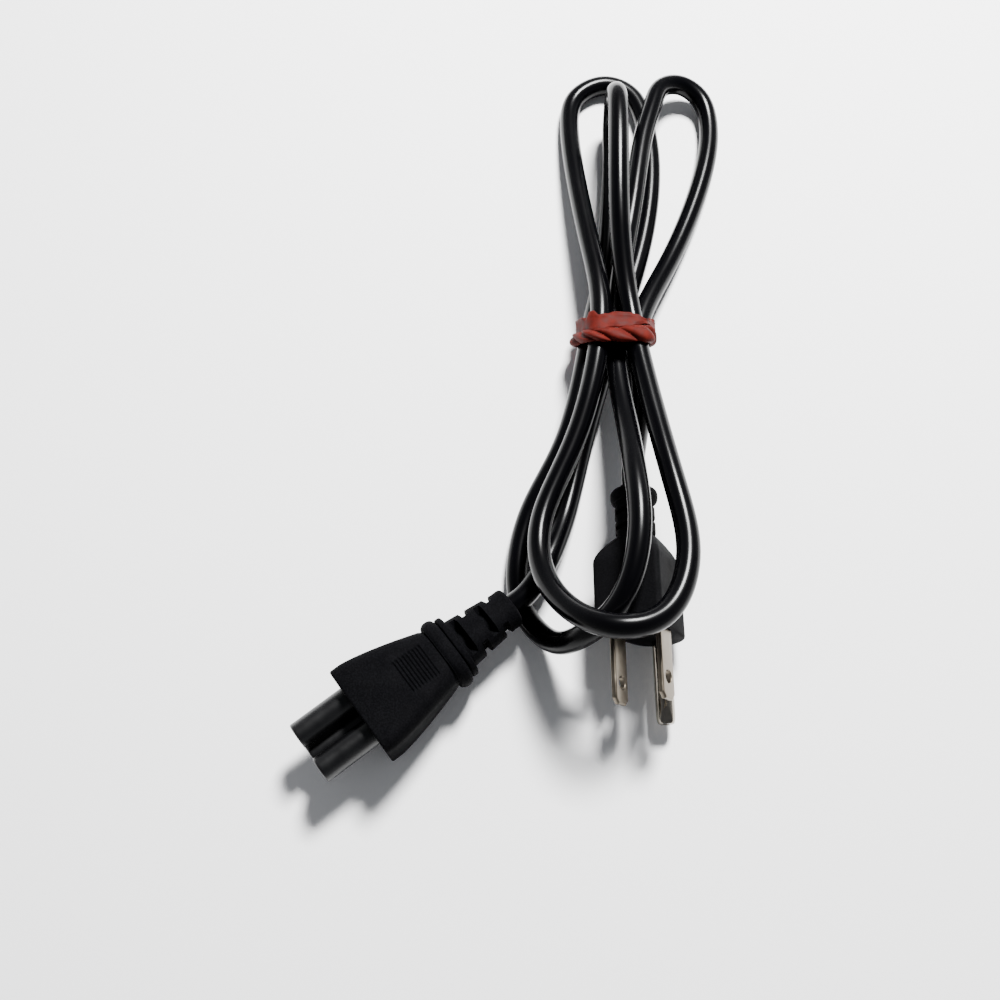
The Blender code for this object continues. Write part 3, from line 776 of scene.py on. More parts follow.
@dataclass
class Cord:
    """The three-core cord: a round tube along one smooth curve through the route's points."""

    diameter: float = 6.0
    # How far apart the rings are, points round each, and readings of the curve in each span
    spacing: float = 1.4
    sides: int = 28
    readings: int = 200
    # How far the tube runs on inside an end piece, and how far outside it the curve starts
    tuck: float = 2.4
    gap: float = 0.3
    # Edges steeper than this many degrees stay sharp
    sharp: float = 35.0
    finish: Finish = ExtrudedSheath("extruded_soft_pvc_sheath", "#030305", roughness=0.2, ior=1.53,
                                    specular=0.1, coordinates=Coordinates.SURFACE)

    def knots(self, connector: Placement, plug: Placement) -> Array:
        """Give the points that the curve runs through, in the part's frame.

        Args:
            connector: where the connector stands.
            plug: where the plug stands.

        Returns:
            The route's points between one more point just outside each exit.
        """
        start = np.array(connector.exit) - self.gap * connector.inward()
        end = np.array(plug.exit) - self.gap * plug.inward()
        return np.vstack([start, np.array(ROUTE), end]) - LAYOUT_CENTRE

    def centre_line(self, connector: Placement, plug: Placement) -> Array:
        """Read even steps of the natural cubic spline through the knots.

        Each span between two knots is the Hermite cubic of its ends and slopes, and takes a
        parameter length of the square root of its chord. The slopes make the bend run on evenly
        from span to span and fade out at both ends.

        Args:
            connector: where the connector stands.
            plug: where the plug stands.

        Returns:
            Points about one spacing apart, in millimetres.
        """
        knots = self.knots(connector, plug)
        span = np.sqrt(np.linalg.norm(np.diff(knots, axis=0), axis=1))
        system = np.diag(2 * (np.append(1 / span, 0.0) + np.append(0.0, 1 / span)))
        system += np.diag(1 / span, 1) + np.diag(1 / span, -1)
        lift = 3 * np.diff(knots, axis=0) / span[:, None] ** 2
        around = np.pad(lift, ((0, 1), (0, 0))) + np.pad(lift, ((1, 0), (0, 0)))
        slopes = np.linalg.solve(system, around)

        def read(place: Array) -> Array:
            """Read the curve.

            Args:
                place: places along it, counted in spans.

            Returns:
                One point for each place.
            """
            at = np.minimum(place.astype(int), len(span) - 1)
            t = (place - at)[:, None]
            width = span[at][:, None]
            return ((2 * t ** 3 - 3 * t ** 2 + 1) * knots[at]
                    + (t ** 3 - 2 * t ** 2 + t) * width * slopes[at]
                    + (3 * t ** 2 - 2 * t ** 3) * knots[at + 1]
                    + (t ** 3 - t ** 2) * width * slopes[at + 1])

        fine = np.linspace(0.0, len(span), self.readings * len(span))
        run = run_lengths(read(fine))
        count = int(run[-1] / self.spacing)
        return read(np.interp(np.linspace(0.0, run[-1], count), run, fine))

    def tube(self, line: Array) -> tuple[Array, Array]:
        """Carry a circle along the line: centre + radius * (cos a * side + sin a * up).

        The side direction turns as little as it can, so each station's is the last one's with
        its part along the cord taken out.

        Args:
            line: the centre line.

        Returns:
            The grid of points, and for each its run along and round the surface in metres.
        """
        tangent = np.gradient(line, axis=0)
        tangent /= np.linalg.norm(tangent, axis=1, keepdims=True)
        side = np.cross(tangent, [0.0, 0.0, 1.0])
        for i in range(1, len(line)):
            side[i] = side[i - 1] - tangent[i] * (side[i - 1] @ tangent[i])
            side[i] /= np.linalg.norm(side[i])
        side[0] /= np.linalg.norm(side[0])
        up = np.cross(side, tangent)
        angle = full_turn(self.sides)[:, None]
        ring = np.cos(angle) * side[:, None] + np.sin(angle) * up[:, None]
        grid = line[:, None] + self.diameter / 2 * ring
        around = np.linspace(0.0, math.pi * self.diameter, self.sides, endpoint=False)
        along = np.broadcast_to(run_lengths(line)[:, None], grid.shape[:2])
        marks = np.stack([along, np.broadcast_to(around, grid.shape[:2])], axis=-1) * MM
        return grid, marks

    def build(self, connector: Placement, plug: Placement, on_it: list[str]) -> Array:
        """Args:
            connector: where the connector stands.
            plug: where the plug stands.
            on_it: names of the pieces on the cord's far end; not used.

        Returns:
            The centre line between the exits.
        """
        line = self.centre_line(connector, plug)
        ends_in = [line[:1] + self.tuck * connector.inward(), line[-1:] + self.tuck * plug.inward()]
        path = np.vstack([ends_in[0], line, ends_in[1]])
        grid, marks = self.tube(path)
        piece = make_piece("cord_sheath", [grid], self.finish.make(), "cord",
                           self.sharp, marks=marks)
        return line


@dataclass
class Connector:
    """The cloverleaf connector: slotted strain relief, collar, ridged grip and lobed nose."""

    place: Placement = Placement((-5.0, -67.0, 9.3), yaw=-52.5)
    # The strain relief: its ring at the cord, its width and height at both ends, its slots with
    # the radius that they leave and their spread in degrees
    relief: float = 17.0
    ring: float = 3.0
    relief_end: tuple[float, float] = (10.6, 10.0)
    relief_root: tuple[float, float] = (13.6, 11.6)
    slot_count: int = 4
    slot_width: float = 2.1
    core: float = 3.7
    slot_spread: float = 96.0
    # The collar: a square flange, a waist and a rounded bead, each with its width and height
    collar: float = 5.4
    flange: tuple[float, float] = (17.2, 12.8)
    flange_length: float = 1.7
    flange_power: float = 4.0
    flange_lead: float = 0.1
    bead: tuple[float, float] = (19.2, 14.0)
    bead_length: float = 3.6
    bead_power: float = 2.6
    bead_tail: float = 0.3
    waist: tuple[float, float] = (14.6, 11.6)
    # The grip: its size behind and at its face, how fast it swells, the even stretch before the
    # face, its corners and its edge
    grip: float = 24.6
    rear: tuple[float, float] = (15.6, 12.6)
    face: tuple[float, float] = (24.6, 18.6)
    powers: tuple[float, float] = (1.3, 1.5)
    flat: float = 3.0
    rear_corner: float = 4.0
    face_corner: float = 2.6
    edge: float = 0.55
    # The ridges on the grip's top and the grooves between them
    ridges: int = 10
    ridge_pitch: float = 0.95
    ridge_depth: float = 0.34
    ridge_length: float = 9.0
    ridge_start: float = 3.1
    ridge_fade: float = 0.5
    groove_power: float = 0.7
    # The nose, how deep it is set in, its lobes and the gap round its foot
    nose: float = 15.0
    insert: float = 3.4
    lobe_radius: float = 3.45
    lobe_spacing: float = 10.0
    lobe_drop: float = 5.0
    lobe_web: float = 3.2
    nose_edge: float = 0.45
    seat: float = 0.4
    # The sockets in the nose, and how far the cutting tools reach out past a face
    socket: float = 3.4
    socket_depth: float = 12.0
    socket_rim: float = 0.35
    clear: float = 1.0
    past: float = 0.01
    # Edges steeper than this many degrees stay sharp
    grip_sharp: float = 40.0
    nose_sharp: float = 32.0
    # Steps between stations: on fine detail, before the ridges and on the plain grip
    fine: float = 0.1
    middling: float = 0.3
    coarse: float = 0.5
    ridge_steps: int = 10
    # Points on the right, top, left and bottom sides, and on each corner
    side_points: tuple[int, int, int, int] = (9, 49, 9, 17)
    corner_points: int = 9
    # Stations of the nose, and how far they keep from its root and its tip
    nose_steps: int = 14
    nose_margins: tuple[float, float] = (0.5, 1.0)
    lobe_points: int = 40
    web_points: int = 10
    socket_sides: int = 40
    # How much of the smaller side the relief's corner radius takes, and where after the collar
    # the grip's own corner starts to take over, and over what length
    roundness: float = 0.44
    blend: tuple[float, float] = (-0.2, 1.6)
    grained: Finish = SparkedMoulding("spark_textured_pvc_grip", "#060607", roughness=0.8,
                                      ior=1.53, specular=0.03)
    satin: Finish = SatinMoulding("polished_mould_pvc_nose", "#050507", roughness=0.33,
                                  ior=1.53, specular=0.38)
    brass: Finish = DrawnBrass("drawn_brass_sleeve", "#a87c3e", roughness=0.35, metallic=1.0)

    def face_at(self) -> float:
        """Give the distance from the cord's exit to the face that the nose stands on."""
        return self.relief + self.collar + self.grip

    def rows(self) -> Array:
        """List the distances of the grip's stations, close together where it has fine detail.

        Returns:
            Distances from the cord's exit, in order.
        """
        collar_end = self.relief + self.collar
        ridge_start = collar_end + self.ridge_start
        ridge_end = ridge_start + self.ridges * self.ridge_pitch
        plain = collar_end + 2 * self.middling
        start = 2 * self.edge * (1 - np.cos(quarter_turn(EDGE_STEPS)))
        stop = edge_rows(self.face_at(), self.edge, EDGE_STEPS)
        return np.unique(np.concatenate([
            start, np.arange(start[-1], plain, self.fine),
            np.arange(plain, ridge_start, self.middling),
            np.arange(ridge_start, ridge_end, self.ridge_pitch / self.ridge_steps),
            np.arange(ridge_end, stop[0], self.coarse), stop]).round(5))

    def columns(self) -> tuple[Array, Array, Array]:
        """List the columns round a rounded box as a direction and two shares.

        A column's point is its shares of the corner circle's centre plus the corner's radius
        along its direction. On a side the direction stays and one share runs from end to end;
        at a corner both shares stay and the direction turns by a quarter.

        Returns:
            Directions in radians, and the shares across and up.
        """
        corner = quarter_turn(self.corner_points)
        direction, across, up = [], [], []
        for quarter, count in enumerate(self.side_points):
            angle = quarter * math.pi / 2
            right, above = round(math.cos(angle)), round(math.sin(angle))
            share = np.linspace(-1.0, 1.0, count + 2)[1:-1]
            direction += [np.full(count, angle), angle + corner]
            across += [right - above * share, np.full(len(corner), float(right - above))]
            up += [above + right * share, np.full(len(corner), float(above + right))]
        return np.concatenate(direction), np.concatenate(across), np.concatenate(up)

    def size(self, along: Array, axis: int) -> Array:
        """Give the moulding's width (axis 0) or height (axis 1) at distances from the exit.

        The relief widens evenly, the grip swells as 1 - (1 - t) ** power up to its face, and a
        flange and a rounded bead stand over the waist between the two.

        Args:
            along: distances from the exit.
            axis: 0 across, 1 up.

        Returns:
            One size for each distance.
        """
        collar_end = self.relief + self.collar
        t = np.clip((along - self.ring) / (self.relief - self.ring), 0.0, 1.0)
        tapered = self.relief_end[axis] + (self.relief_root[axis] - self.relief_end[axis]) * t
        t = np.clip((along - collar_end) / (self.grip - self.flat), 0.0, 1.0)
        swelling = 1 - (1 - t) ** self.powers[axis]
        gripped = self.rear[axis] + (self.face[axis] - self.rear[axis]) * swelling
        base = np.where(along < self.relief, tapered,
                        np.where(along < collar_end, self.waist[axis], gripped))
        flange = hump(along, self.relief - self.flange_lead, self.relief + self.flange_length,
                      self.flange_power)
        bead = hump(along, collar_end - self.bead_length, collar_end + self.bead_tail,
                    self.bead_power)
        base = base + np.maximum(self.flange[axis] - base, 0.0) * flange
        return base + np.maximum(self.bead[axis] - base, 0.0) * bead

    def corner(self, along: Array) -> Array:
        """Give the section's corner radius: nearly round on the relief, tight at the face.

        Args:
            along: distances from the exit.

        Returns:
            One radius for each distance.
        """
        collar_end = self.relief + self.collar
        t = np.clip((along - collar_end) / (self.grip - self.flat), 0.0, 1.0)
        gripped = self.rear_corner + (self.face_corner - self.rear_corner) * t
        rounded = np.minimum(self.size(along, 0), self.size(along, 1)) * self.roundness
        start, length = self.blend
        blend = np.clip((along - collar_end - start) / length, 0.0, 1.0)
        return rounded + (gripped - rounded) * blend

    def moulding(self) -> Array:
        """Give the grip's grid: a rounded box whose size follows the distance from the exit.

        Returns:
            A grid of stations by points by three.
        """
        along = self.rows()[:, None]
        direction, across, up = self.columns()
        inset = edge_inset(along, 0.0, self.face_at(), self.edge)
        inset = inset + edge_inset(along, 0.0, math.inf, self.edge * 2)
        corner = self.corner(along)
        x = across * (self.size(along, 0) / 2 - corner) + (corner - inset) * np.cos(direction)
        z = up * (self.size(along, 1) / 2 - corner) + (corner - inset) * np.sin(direction)
        slots = Slots(self.ring, self.relief, self.slot_count, self.slot_width, self.core,
                      self.slot_spread)
        x, z = slots.carve(along, x, z)
        z = z - self.groove(along, x, z)
        return np.stack([x, -along + 0 * x, z], axis=-1)

    def groove(self, along: Array, x: Array, z: Array) -> Array:
        """Give the depth of the grooves between the ridges on the grip's top.

        Between two ridges the depth is the squared sine of the place in the pitch, to a power
        below 1, which widens the groove's floor, and it fades out over the ridges' ends.

        Args:
            along: distances from the exit.
            x: grid of places across.
            z: grid of heights.

        Returns:
            A grid of depths.
        """
        place = along - self.relief - self.collar - self.ridge_start
        wave = np.sin(math.pi * place / self.ridge_pitch) ** 2
        inside = (place > 0) & (place < (self.ridges - 1) * self.ridge_pitch) & (z > 0)
        fade = np.clip((self.ridge_length / 2 - np.abs(x)) / self.ridge_fade + 0.5, 0.0, 1.0)
        return self.ridge_depth * wave ** self.groove_power * fade * inside

    def lobes(self, extra: Array) -> Array:
        """Give the nose's cloverleaf outline at each station, grown by an extra clearance.

        Each lobe is an arc about its own centre, and ends where the web to the next lobe meets
        it: at the angle whose sine is half the web over the radius.

        Args:
            extra: one clearance for each station.

        Returns:
            A grid of stations by points by two.
        """
        extra = extra[:, None]
        radius = self.lobe_radius + extra
        lean = math.atan2(self.lobe_drop, self.lobe_spacing / 2)
        half = np.arcsin((self.lobe_web / 2 + extra) / radius)
        x, z = self.lobe_spacing / 2, self.lobe_drop / 2
        turn, points = math.pi, self.lobe_points
        arcs = ((-x, z, -lean + half, 2 * turn - lean - half, points),
                (0.0, -z, turn - lean + half, 2 * turn + lean - half, points),
                (x, z, turn + lean + half, 3 * turn + lean - half, points),
                (0.0, -z, lean + half, turn - lean - half, self.web_points))
        parts = []
        for centre_x, centre_z, start, end, steps in arcs:
            angle = start + (end - start) * np.linspace(0.0, 1.0, steps)
            parts.append(np.stack([centre_x + radius * np.cos(angle),
                                   centre_z + radius * np.sin(angle)], axis=-1))
        return np.concatenate(parts, axis=1)

    def nose_grid(self) -> Array:
        """Give the nose: its outline carried along the axis, with a round edge at the tip.

        Returns:
            A grid of stations by points by three.
        """
        root, tip = self.face_at() - self.insert, self.face_at() + self.nose
        after, before = self.nose_margins
        along = np.concatenate([[root], np.linspace(root + after, tip - before, self.nose_steps),
                                edge_rows(tip, self.nose_edge, FINE_EDGE_STEPS)])
        outline = self.lobes(-edge_inset(along, -math.inf, tip, self.nose_edge))
        return self.upright(outline, along)

    def upright(self, outline: Array, along: Array) -> Array:
        """Stand outlines of x and z at their distances along the connector's axis."""
        y = np.broadcast_to(-along[:, None], outline.shape[:2])
        return np.stack([outline[..., 0], y, outline[..., 1]], axis=-1)

    def seat_tool(self) -> bpy.types.Object:
        """Make the tool that sinks the recess round the nose's foot into the face.

        Returns:
            The tool, a little larger than the nose all round.
        """
        along = np.array([self.face_at() - self.insert - self.seat, self.face_at() + self.clear])
        outline = self.lobes(np.full(2, self.seat))
        return make_object("seat", [self.place.put(self.upright(outline, along))])

    def socket_tool(self) -> bpy.types.Object:
        """Make the tool for the three sockets, each widening to a small rim at its mouth.

        Returns:
            The tool, which reaches out past the nose's tip.
        """
        tip = self.face_at() + self.nose
        bore = self.socket / 2
        profile = np.array([[bore, tip - self.socket_depth], [bore, tip - self.socket_rim],
                            [bore + self.socket_rim, tip + self.past],
                            [bore + self.socket_rim, tip + self.clear]])
        x, z = self.lobe_spacing / 2, self.lobe_drop / 2
        holes = [turned(profile, self.socket_sides) + np.array([at_x, 0.0, at_z])
                 for at_x, at_z in ((-x, z), (0.0, -z), (x, z))]
        return make_object("sockets", [self.place.put(hole) for hole in holes])

    def build(self) -> None:
        """Make the grip and the nose, and give the contact sleeves their brass."""
        grained, satin = self.grained.make(), self.satin.make()
        grip = make_piece("connector_moulding", [self.place.put(self.moulding())], grained,
                          "connector_grip", self.grip_sharp)
        cut(grip, self.seat_tool(), grained, self.grip_sharp)
        nose = make_piece("connector_lobes", [self.place.put(self.nose_grid())], satin,
                          "connector_nose", self.nose_sharp)
        cut(nose, self.socket_tool(), satin, self.nose_sharp)
        brass = self.brass.make()
        for name in ("contact_live", "contact_earth", "contact_neutral"):
            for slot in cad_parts[name].material_slots:
                slot.material = brass


@dataclass
class Plug:
    """The grounded plug: flange, slotted neck, D-shaped body, two blades and a round pin."""

    roll: float = 34.5
    exit_xy: tuple[float, float] = (27.2, -36.1)
    # The flange at the cord's exit, the slotted neck and the shoulder, whose shape is marked by
    # shares of its length and how far the section has grown there
    flange: float = 4.6
    flange_radius: float = 6.2
    lip: float = 0.9
    ring_power: float = 2.6
    neck: float = 10.4
    neck_radius: float = 5.2
    core: float = 3.7
    shoulder: float = 6.4
    shoulder_shape: Marks = ((0.0, 0.14), (0.2, 0.42), (0.45, 0.7), (0.7, 0.9),
                             (0.88, 0.98), (1.0, 1.0))
    slot_count: int = 5
    slot_width: float = 1.45
    slot_spread: float = 100.0
    # The body, and its section round two top corners and a keel
    body: float = 24.4
    width: float = 18.6
    top: float = 7.5
    corner: float = 1.2
    keel_drop: float = 8.3
    keel_radius: float = 7.4
    edge: float = 0.6
    # Points round a section, steps on the neck and on the body, and stations of flange and shoulder
    section_points: int = 240
    fine: float = 0.1
    coarse: float = 0.8
    ring_steps: int = 40
    # The blades, with their cut corners, folded edges and holes
    blade: float = 17.4
    blade_width: float = 6.35
    blade_thickness: float = 1.52
    blade_spacing: float = 12.7
    blade_rise: float = 0.5
    blade_root: float = 5.0
    blade_cut: float = 1.4
    blade_fold: float = 0.55
    blade_rim: float = 0.2
    hole: float = 3.2
    hole_at: float = 11.9
    # The ground pin, and the length of its round tip
    pin_diameter: float = 4.8
    pin: float = 21.0
    pin_drop: float = 11.9
    pin_tip: float = 4.2
    # How deep the pin is set in, where its stations start, how many there are before and along
    # the crimp, and the points round it
    pin_root: float = 4.0
    pin_start: float = -0.5
    pin_steps: tuple[int, int] = (12, 48)
    pin_sides: int = 96
    # How much the pin's round tip draws in, and the rings that turn in to its bore, each with its
    # place before the tip, its radius and its flats' distance
    pin_rounding: float = 0.75
    pin_bore: tuple[tuple[float, float, float], ...] = ((0.05, 0.9, 0.6), (1.2, 0.7, 0.5))
    # The crimp at the pin's end: its length, its turn and its flats' half width at the end
    crimp: float = 5.6
    crimp_turn: float = 58.0
    facet: float = 1.95
    # Edges steeper than this many degrees stay sharp
    body_sharp: float = 38.0
    blade_sharp: float = 25.0
    pin_sharp: float = 30.0
    grained: Finish = SparkedMoulding("spark_textured_pvc_plug", "#060607", roughness=0.78,
                                      ior=1.53, specular=0.05)
    plating: Finish = NickelPlating("nickel_plated_stamped_brass", "#736b5f", roughness=0.33,
                                    metallic=1.0)
    polished: Finish = NickelPlating("nickel_plated_rolled_brass", "#989186", roughness=0.13,
                                     metallic=1.0, dull="#8d867b", bright="#a39d92")

    def place(self) -> Placement:
        """Give where the plug stands: rolled over so that its keel rests on the floor."""
        height = self.keel_radius + self.keel_drop * math.cos(math.radians(self.roll))
        return Placement((*self.exit_xy, height), roll=self.roll)

    def face_at(self) -> float:
        """Give the distance from the cord's exit to the face that the blades stand on."""
        return self.flange + self.neck + self.body

    def rows(self) -> Array:
        """List the distances of the moulding's stations.

        Returns:
            Distances from the cord's exit, in order.
        """
        neck_end = self.flange + self.neck
        swing = np.linspace(0.0, math.pi, self.ring_steps)
        bead = self.lip + (self.flange - self.lip) / 2 * (1 - np.cos(swing))
        stop = edge_rows(self.face_at(), self.edge, EDGE_STEPS)
        return np.unique(np.concatenate([
            [0.0], bead, np.arange(self.flange, neck_end, self.fine),
            np.linspace(neck_end, neck_end + self.shoulder, self.ring_steps),
            np.arange(neck_end + self.shoulder, stop[0], self.coarse), stop]).round(5))

    def section(self, along: float, share: float, disc: float, inset: float) -> Array:
        """Give one section: the taut loop round two top corners and the keel.

        Each circle moves out from the axis by the share, and its radius runs from the disc's to
        its own, so share 0 is the round neck and share 1 the full body.

        Args:
            along: distance from the cord's exit.
            share: how far the section is from neck to body.
            disc: the neck's or flange's radius here.
            inset: how far a round edge draws the section in.

        Returns:
            Points round the section, by three.
        """
        x, z = self.width / 2 - self.corner, self.top - self.corner
        full = np.array([(x, z, self.corner), (-x, z, self.corner),
                         (0.0, -self.keel_drop, self.keel_radius)])
        circles = full * share
        circles[:, 2] = disc + (full[:, 2] - disc) * share - inset
        point, _ = taut_outline(circles, self.section_points)
        return np.stack([point[:, 0], np.full(len(point), -along), point[:, 1]], axis=-1)

    def moulding(self) -> Array:
        """Give the plug's grid, with slots in its neck and rounded blocks between them.

        Returns:
            A grid of stations by points by three.
        """
        rows = self.rows()
        neck_end = self.flange + self.neck
        places, shares = zip(*self.shoulder_shape)
        share = np.interp((rows - neck_end) / self.shoulder, places, shares)
        share = np.where(rows < neck_end, 0.0, share)
        bead = hump(rows, self.lip, self.flange + self.fine, self.ring_power)
        disc = np.where(rows < (self.lip + self.flange) / 2, self.core, self.neck_radius)
        disc = disc + (self.flange_radius - disc) * bead
        inset = edge_inset(rows, -math.inf, self.face_at(), self.edge)
        grid = np.stack([self.section(*row) for row in zip(rows, share, disc, inset)])
        slots = Slots(self.flange, neck_end, self.slot_count, self.slot_width, self.core,
                      self.slot_spread)
        x, z = slots.carve(rows[:, None], grid[..., 0], grid[..., 2])
        return np.stack([x, grid[..., 1], z], axis=-1)

    def blade_reach(self, inset: float, direction: Array) -> Array:
        """Give how far the blade's outline lies from its hole's middle in each direction.

        The outline is a rectangle with two cut corners at the tip, drawn in by the inset.

        Args:
            inset: how far the outline is drawn in.
            direction: angles in radians, from the blade's length towards its width.

        Returns:
            One distance for each direction, in millimetres.
        """
        half = self.blade_width / 2
        tip = self.blade - self.hole_at
        root = self.hole_at + self.blade_root
        diagonal = math.sqrt(0.5)
        sides = ((1.0, 0.0, tip), (-1.0, 0.0, root), (0.0, 1.0, half), (0.0, -1.0, half),
                 (diagonal, diagonal, (tip + half - self.blade_cut) * diagonal),
                 (diagonal, -diagonal, (tip + half - self.blade_cut) * diagonal))
        reach = np.full(direction.shape, math.inf)
        for normal_u, normal_v, distance in sides:
            facing = normal_u * np.cos(direction) + normal_v * np.sin(direction)
            with np.errstate(divide="ignore"):
                there = np.where(facing > LEAST_COSINE, (distance - inset) / facing, math.inf)
            reach = np.minimum(reach, there)
        return reach

    def blade_grid(self, side: float) -> Array:
        """Give one blade as a closed ring of profiles about its hole.

        In every direction from the hole's middle the profile runs up the hole's wall, out over
        the top face, round the folded edge and back under. The edge is a quarter circle on each
        side, so the outline draws in by the fold times one less its sine.

        Args:
            side: where the blade stands across the plug, in millimetres.

        Returns:
            A grid of profile points by directions by three.
        """
        direction = full_turn(self.section_points)
        half, fold, rim = self.blade_thickness / 2, self.blade_fold, self.blade_rim
        hole = np.full(direction.shape, self.hole / 2)
        over = [(self.blade_reach(fold * (1 - math.sin(turn)), direction),
                 half - fold * (1 - math.cos(turn))) for turn in quarter_turn(FINE_EDGE_STEPS)]
        under = [(reach, -height) for reach, height in reversed(over)]
        profile = [(hole, -half + rim), (hole, half - rim), (hole + rim, half), *over, *under,
                   (hole + rim, -half)]
        rows = [np.stack([side + np.full(direction.shape, height),
                          -self.face_at() - self.hole_at - reach * np.cos(direction),
                          self.blade_rise + reach * np.sin(direction)], axis=-1)
                for reach, height in profile]
        return np.stack(rows)

    def pin_grid(self) -> Array:
        """Give the ground pin: a rolled tube whose tip is crimped between two flats.

        The radius is the smaller of the round tip's, which draws in by the rounding times
        1 - sqrt(1 - t ** 5), and a flat's distance over the cosine of the angle from that flat.
        A flat's distance is the root of the radius squared less its half width squared, and the
        half width grows evenly, so each flat shows as a triangle.

        Returns:
            A grid of stations by points by three.
        """
        radius = self.pin_diameter / 2
        plain, crimped = self.pin_steps
        along = np.unique(np.concatenate([
            [-self.pin_root], np.linspace(self.pin_start, self.pin - self.crimp, plain),
            np.linspace(self.pin - self.crimp, self.pin, crimped)]))
        t = np.clip((along - self.pin + self.pin_tip) / self.pin_tip, 0.0, 1.0)
        round_tip = radius - self.pin_rounding * (1 - np.sqrt(1 - t ** 5))
        lean = np.clip((along - self.pin + self.crimp) / self.crimp, 0.0, 1.0)
        flat = np.sqrt(radius ** 2 - (self.facet * lean) ** 2)
        # The tube's end turns in over its edge and down into its bore
        before, bore_radius, bore_flat = np.array(self.pin_bore).T
        along = np.append(along, self.pin - before)
        round_tip = np.append(round_tip, bore_radius)
        flat = np.append(flat, bore_flat)
        angle = full_turn(self.pin_sides)
        facing = np.abs(np.cos(angle - math.radians(self.crimp_turn)))
        reach = np.minimum(round_tip[:, None], flat[:, None] / np.maximum(facing, LEAST_COSINE))
        y = np.broadcast_to(-self.face_at() - along[:, None], reach.shape)
        return np.stack([reach * np.cos(angle), y,
                         self.blade_rise - self.pin_drop + reach * np.sin(angle)], axis=-1)

    def build(self) -> list[str]:
        """Make the moulding, the blades and the pin.

        Returns:
            The pieces' names.
        """
        place = self.place()
        grained, plating = self.grained.make(), self.plating.make()
        pieces = [make_piece("plug_moulding", [place.put(self.moulding())], grained,
                             "plug_body", self.body_sharp)]
        for name, side in (("live", self.blade_spacing / 2), ("neutral", -self.blade_spacing / 2)):
            pieces.append(make_piece("plug_blade_" + name, [place.put(self.blade_grid(side))],
                                     plating, "blade_" + name, self.blade_sharp,
                                     looped=True))
        pieces.append(make_piece("plug_pin", [place.put(self.pin_grid())], self.polished.make(),
                                 "ground_pin", self.pin_sharp))
        return [piece.name for piece in pieces]


